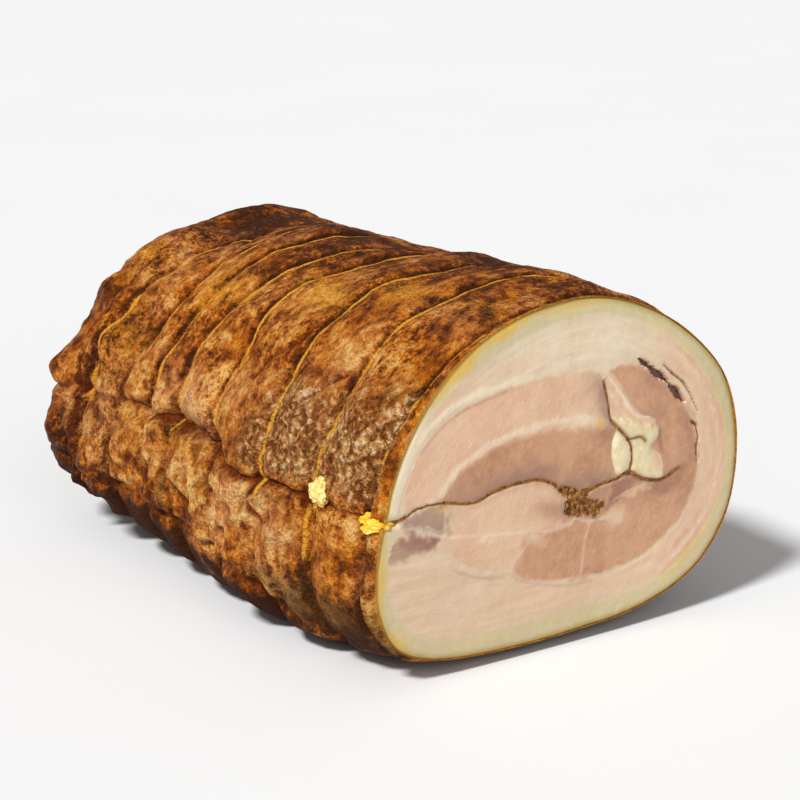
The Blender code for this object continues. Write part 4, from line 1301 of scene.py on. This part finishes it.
def flesh_finish(name):
    """Moist cut flesh: fat and lean by the noted values, fibres, streaks along the layers, stains, and
    painted shade and shadow.
    """
    f = Finish(name, Subsurface_Weight=0.1, Subsurface_Scale=0.003, Coat_Weight=0.15, Coat_Roughness=0.28,
               Specular_IOR_Level=0.35, Subsurface_Radius=(1.0, 0.5, 0.3))
    where = f.where()
    layers = f.spot("layers")
    rim, lean, brown, purple = f.values("rim lean brown purple")
    streak = f.noise(f.stretched(layers, (0.32, 0.035, 1.0)), 1.0, 4.0, 0.55, 0.4)
    fine = f.noise(f.stretched(layers, (1.3, 0.07, 1.0)), 1.0, 5.0, 0.65, 0.3)
    cloud = f.noise(where, 55.0, 5.0, 0.62)
    mottle = f.noise(where, 260.0, 6.0, 0.72)
    fibres = f.noise(f.stretched(f.spot("strokes"), (0.16, 0.85, 1.0)), 1.0, 5.0, 0.68, 0.8)
    frayed = mottle * 0.32 + 0.84
    flecked = mottle * 0.6 + 0.55

    # Fat, then the two kinds of lean
    fat = f.mix(*FAT_TONES, (streak * 0.45 + cloud * 0.55).step(0.38, 0.62))
    fat = f.tint(fat, FAT_LIGHT, fine.step(0.60, 0.72) * 0.4)
    outer = f.mix(*OUTER_TONES, (rim + cloud * 0.10).step(0.07, 0.24))
    outer = f.tint(outer, OUTER_FLECKS, mottle.step(0.5, 0.7) * 0.35)
    colour = f.mix(outer, fat, f.value("core"))
    pink = f.mix(*PINK_TONES, (fibres * 0.35 + cloud * 0.65).step(0.40, 0.62))
    meat = f.mix(*MEAT_TONES, (fibres * 0.25 + cloud * 0.45 + mottle * 0.3).step(0.42, 0.60))
    colour = f.tint(colour, pink, f.value("peach") * frayed)
    colour = f.tint(colour, meat, brown * frayed)

    # Fibres, discoloured meat, white seams, cream fat and stains, with painted shadow under the lobes and
    # painted shade in the clefts and over the lower left and right
    pale_fibre = (fibres * 0.72 + mottle * 0.28).step(0.55, 0.65)
    colour = f.tint(colour, PALE_FIBRE, pale_fibre * lean * (0.62 - brown * 0.42))
    colour = f.tint(colour, GREY_MEAT, f.value("grey") * (cloud * 0.8 + 0.35))
    # Purple meat, and painted shadow under the lobes.
    colour = f.tint(colour, PURPLE_MEAT_AND_SHADOW, purple * (cloud * 0.7 + 0.45))
    colour = f.tint(colour, WHITE_SEAM, f.value("white") * flecked)
    creamy = f.mix(*CREAM_TONES, (cloud * 0.6 + mottle * 0.4).step(0.42, 0.58))
    creamy = f.tint(creamy, CREAM_TINT, f.value("tint") * 0.7)
    colour = f.tint(colour, creamy, f.value("cream") * 0.96)
    colour = f.tint(colour, GOLDEN_FAT, f.value("golden") * flecked)
    colour = f.tint(colour, GOLDEN_LINE, f.value("outer_line") * 0.45)
    colour = f.tint(colour, HERB_STAIN, f.value("stain") * (mottle * 0.6 + 0.25))
    colour = f.tint(colour, HOOK_BROWN, f.value("hook") * 0.85)
    # Painted shade in the clefts.
    colour = f.tint(colour, CLEFT_SHADE, f.value("cleft").step(0.15, 0.85) * 0.9)
    # Painted shade towards the face's lower left and right.
    colour = f.tint(colour, SHADE_BROWN, f.value("shade") * (cloud * 0.12 + 0.06))
    edge = f.mix(*EDGE_TONES, rim.step(0.0, 0.045))
    colour = f.mix(edge, colour, (rim + cloud * 0.03).step(0.02, 0.075))
    bumps = fibres * lean * 0.6 + streak * 0.3 + fine * 0.3 + mottle * 0.6
    rough = (mottle * 0.24 + 0.38 - purple * 0.12).clamp()
    return f.dress(Base_Color=colour, Roughness=rough, Normal=f.bump(bumps, 0.45, 0.0008))


def herb_finish():
    """Chopped herbs and spice in fat: brown and golden grains with dark specks."""
    f = Finish("herb_grains", Coat_Weight=0.2, Coat_Roughness=0.25, Specular_IOR_Level=0.35)
    where = f.where()
    grains = f.cells(where, 560.0)
    cloud = f.noise(where, 420.0, 4.0, 0.65)
    colour = f.mix(*HERB_TONES, (grains * 0.5 + cloud * 0.8).step(0.42, 0.80))
    colour = f.tint(colour, HERB_SPECKS, f.noise(where, 300.0, 3.0).step(0.54, 0.64) * 0.7)
    return f.dress(Base_Color=colour, Roughness=(cloud * 0.2 + 0.38).clamp(),
                   Normal=f.bump(grains + cloud * 0.5, 0.8, 0.0012))


def bead_finish(name, light, dark):
    """Glossy rendered fat, lighter on its ridges."""
    f = Finish(name, Subsurface_Weight=0.2, Subsurface_Scale=0.003, Coat_Roughness=0.12,
               Subsurface_Radius=(1.0, 0.6, 0.2))
    cloud = f.noise(f.where(), 420.0, 4.0, 0.6)
    colour = f.mix(light, dark, (f.value("crease") * 0.8 + cloud * 0.4).step(0.45, 0.95))
    return f.dress(Base_Color=colour, Roughness=(cloud * 0.2 + 0.22).clamp(),
                   Coat_Weight=(cloud * 0.4 + 0.5).clamp(), Normal=f.bump(cloud, 0.5, 0.0007))


# The studio

CAMERA_AZIMUTH = 55.0
CAMERA_ELEVATION = 15.0
CAMERA_LENS = 99.0
CAMERA_PLACE = (633.0, -522.2, 315.2)      # mm in front of the face, across and above its lower edge
SENSOR_WIDTH = 36.0
FLOOR_SIZE = 12.0
ROOM_LIGHT = 0.3
# Lamps: direction, strength and the angle over which they shine
WINDOW_LIGHT = ((0.30, -0.90, 1.05), 3.5, 10)
FACE_LIGHT = ((1.0, -0.25, 0.55), 0.60, 35)


def add_camera():
    """The camera at the photograph's place and angle."""
    data = bpy.data.cameras.new("camera")
    data.lens = CAMERA_LENS
    data.sensor_width = SENSOR_WIDTH
    camera = bpy.data.objects.new("camera", data)
    bpy.context.scene.collection.objects.link(camera)
    front, y, z = CAMERA_PLACE
    camera.location = place(np.array(-front), np.array(y), np.array(z))
    a, e = math.radians(CAMERA_AZIMUTH), math.radians(CAMERA_ELEVATION)
    back = Vector((math.sin(a) * math.cos(e), -math.cos(a) * math.cos(e), math.sin(e)))
    camera.rotation_mode = "QUATERNION"
    camera.rotation_quaternion = back.to_track_quat("Z", "Y")
    bpy.context.scene.camera = camera


def add_lamp(name, direction, strength, angle):
    """A broad soft lamp, far away in the given direction."""
    data = bpy.data.lights.new(name, "SUN")
    data.energy = strength
    data.angle = math.radians(angle)
    lamp = bpy.data.objects.new(name, data)
    bpy.context.scene.collection.objects.link(lamp)
    lamp.rotation_mode = "QUATERNION"
    lamp.rotation_quaternion = Vector(direction).to_track_quat("Z", "Y")
    lamp.location = Vector(direction) * 2


def add_studio():
    """A pale floor under soft light."""
    deselect()
    bpy.ops.mesh.primitive_plane_add(size=FLOOR_SIZE, location=(0, 0, 0))
    floor = bpy.context.object
    floor.name = "floor"
    paper = Finish("pale_floor", Roughness=0.9)
    tone = paper.mix(*FLOOR_TONES, paper.noise(paper.where(), 3.0))
    floor.data.materials.append(paper.dress(Base_Color=tone))
    world = bpy.data.worlds.new("soft_room")
    world.use_nodes = True
    sky = world.node_tree.nodes["Background"]
    sky.inputs["Color"].default_value = (1, 1, 1, 1)
    sky.inputs["Strength"].default_value = ROOM_LIGHT
    bpy.context.scene.world = world
    add_lamp("window_light", *WINDOW_LIGHT)
    add_lamp("face_light", *FACE_LIGHT)


def build_roast():
    """Every piece of the roast, with its finish."""
    build_rind(rind_finish())
    cream = flesh_finish("inner_fat")
    fat = flesh_finish("cut_fat")
    lean = flesh_finish("cut_lean")
    materials = {
        "outer_fat": (fat, "rind_and_fat"), "belly_layer": (fat, "belly_layer"),
        "upper_lean": (lean, "lean_upper"), "lower_lean": (lean, "lean_lower"),
        "inner_fat_fold": (cream, "fat_inner"), "inner_fat_lobe": (cream, "fat_inner"),
        "herb_filling": (herb_finish(), "herbs")}
    build_face(materials)
    yellow = bead_finish("yellow_fat", *YELLOW_BEAD)
    pale = bead_finish("pale_fat", *PALE_BEAD)
    build_bead("seam_fat_yellow", *FRONT_BEAD, 60, yellow, "seam_fat_front")
    build_bead("seam_fat_pale", *MIDDLE_BEAD, 70, pale, "seam_fat_middle")


bpy.context.scene.view_settings.view_transform = "Standard"
build_roast()
add_camera()
add_studio()
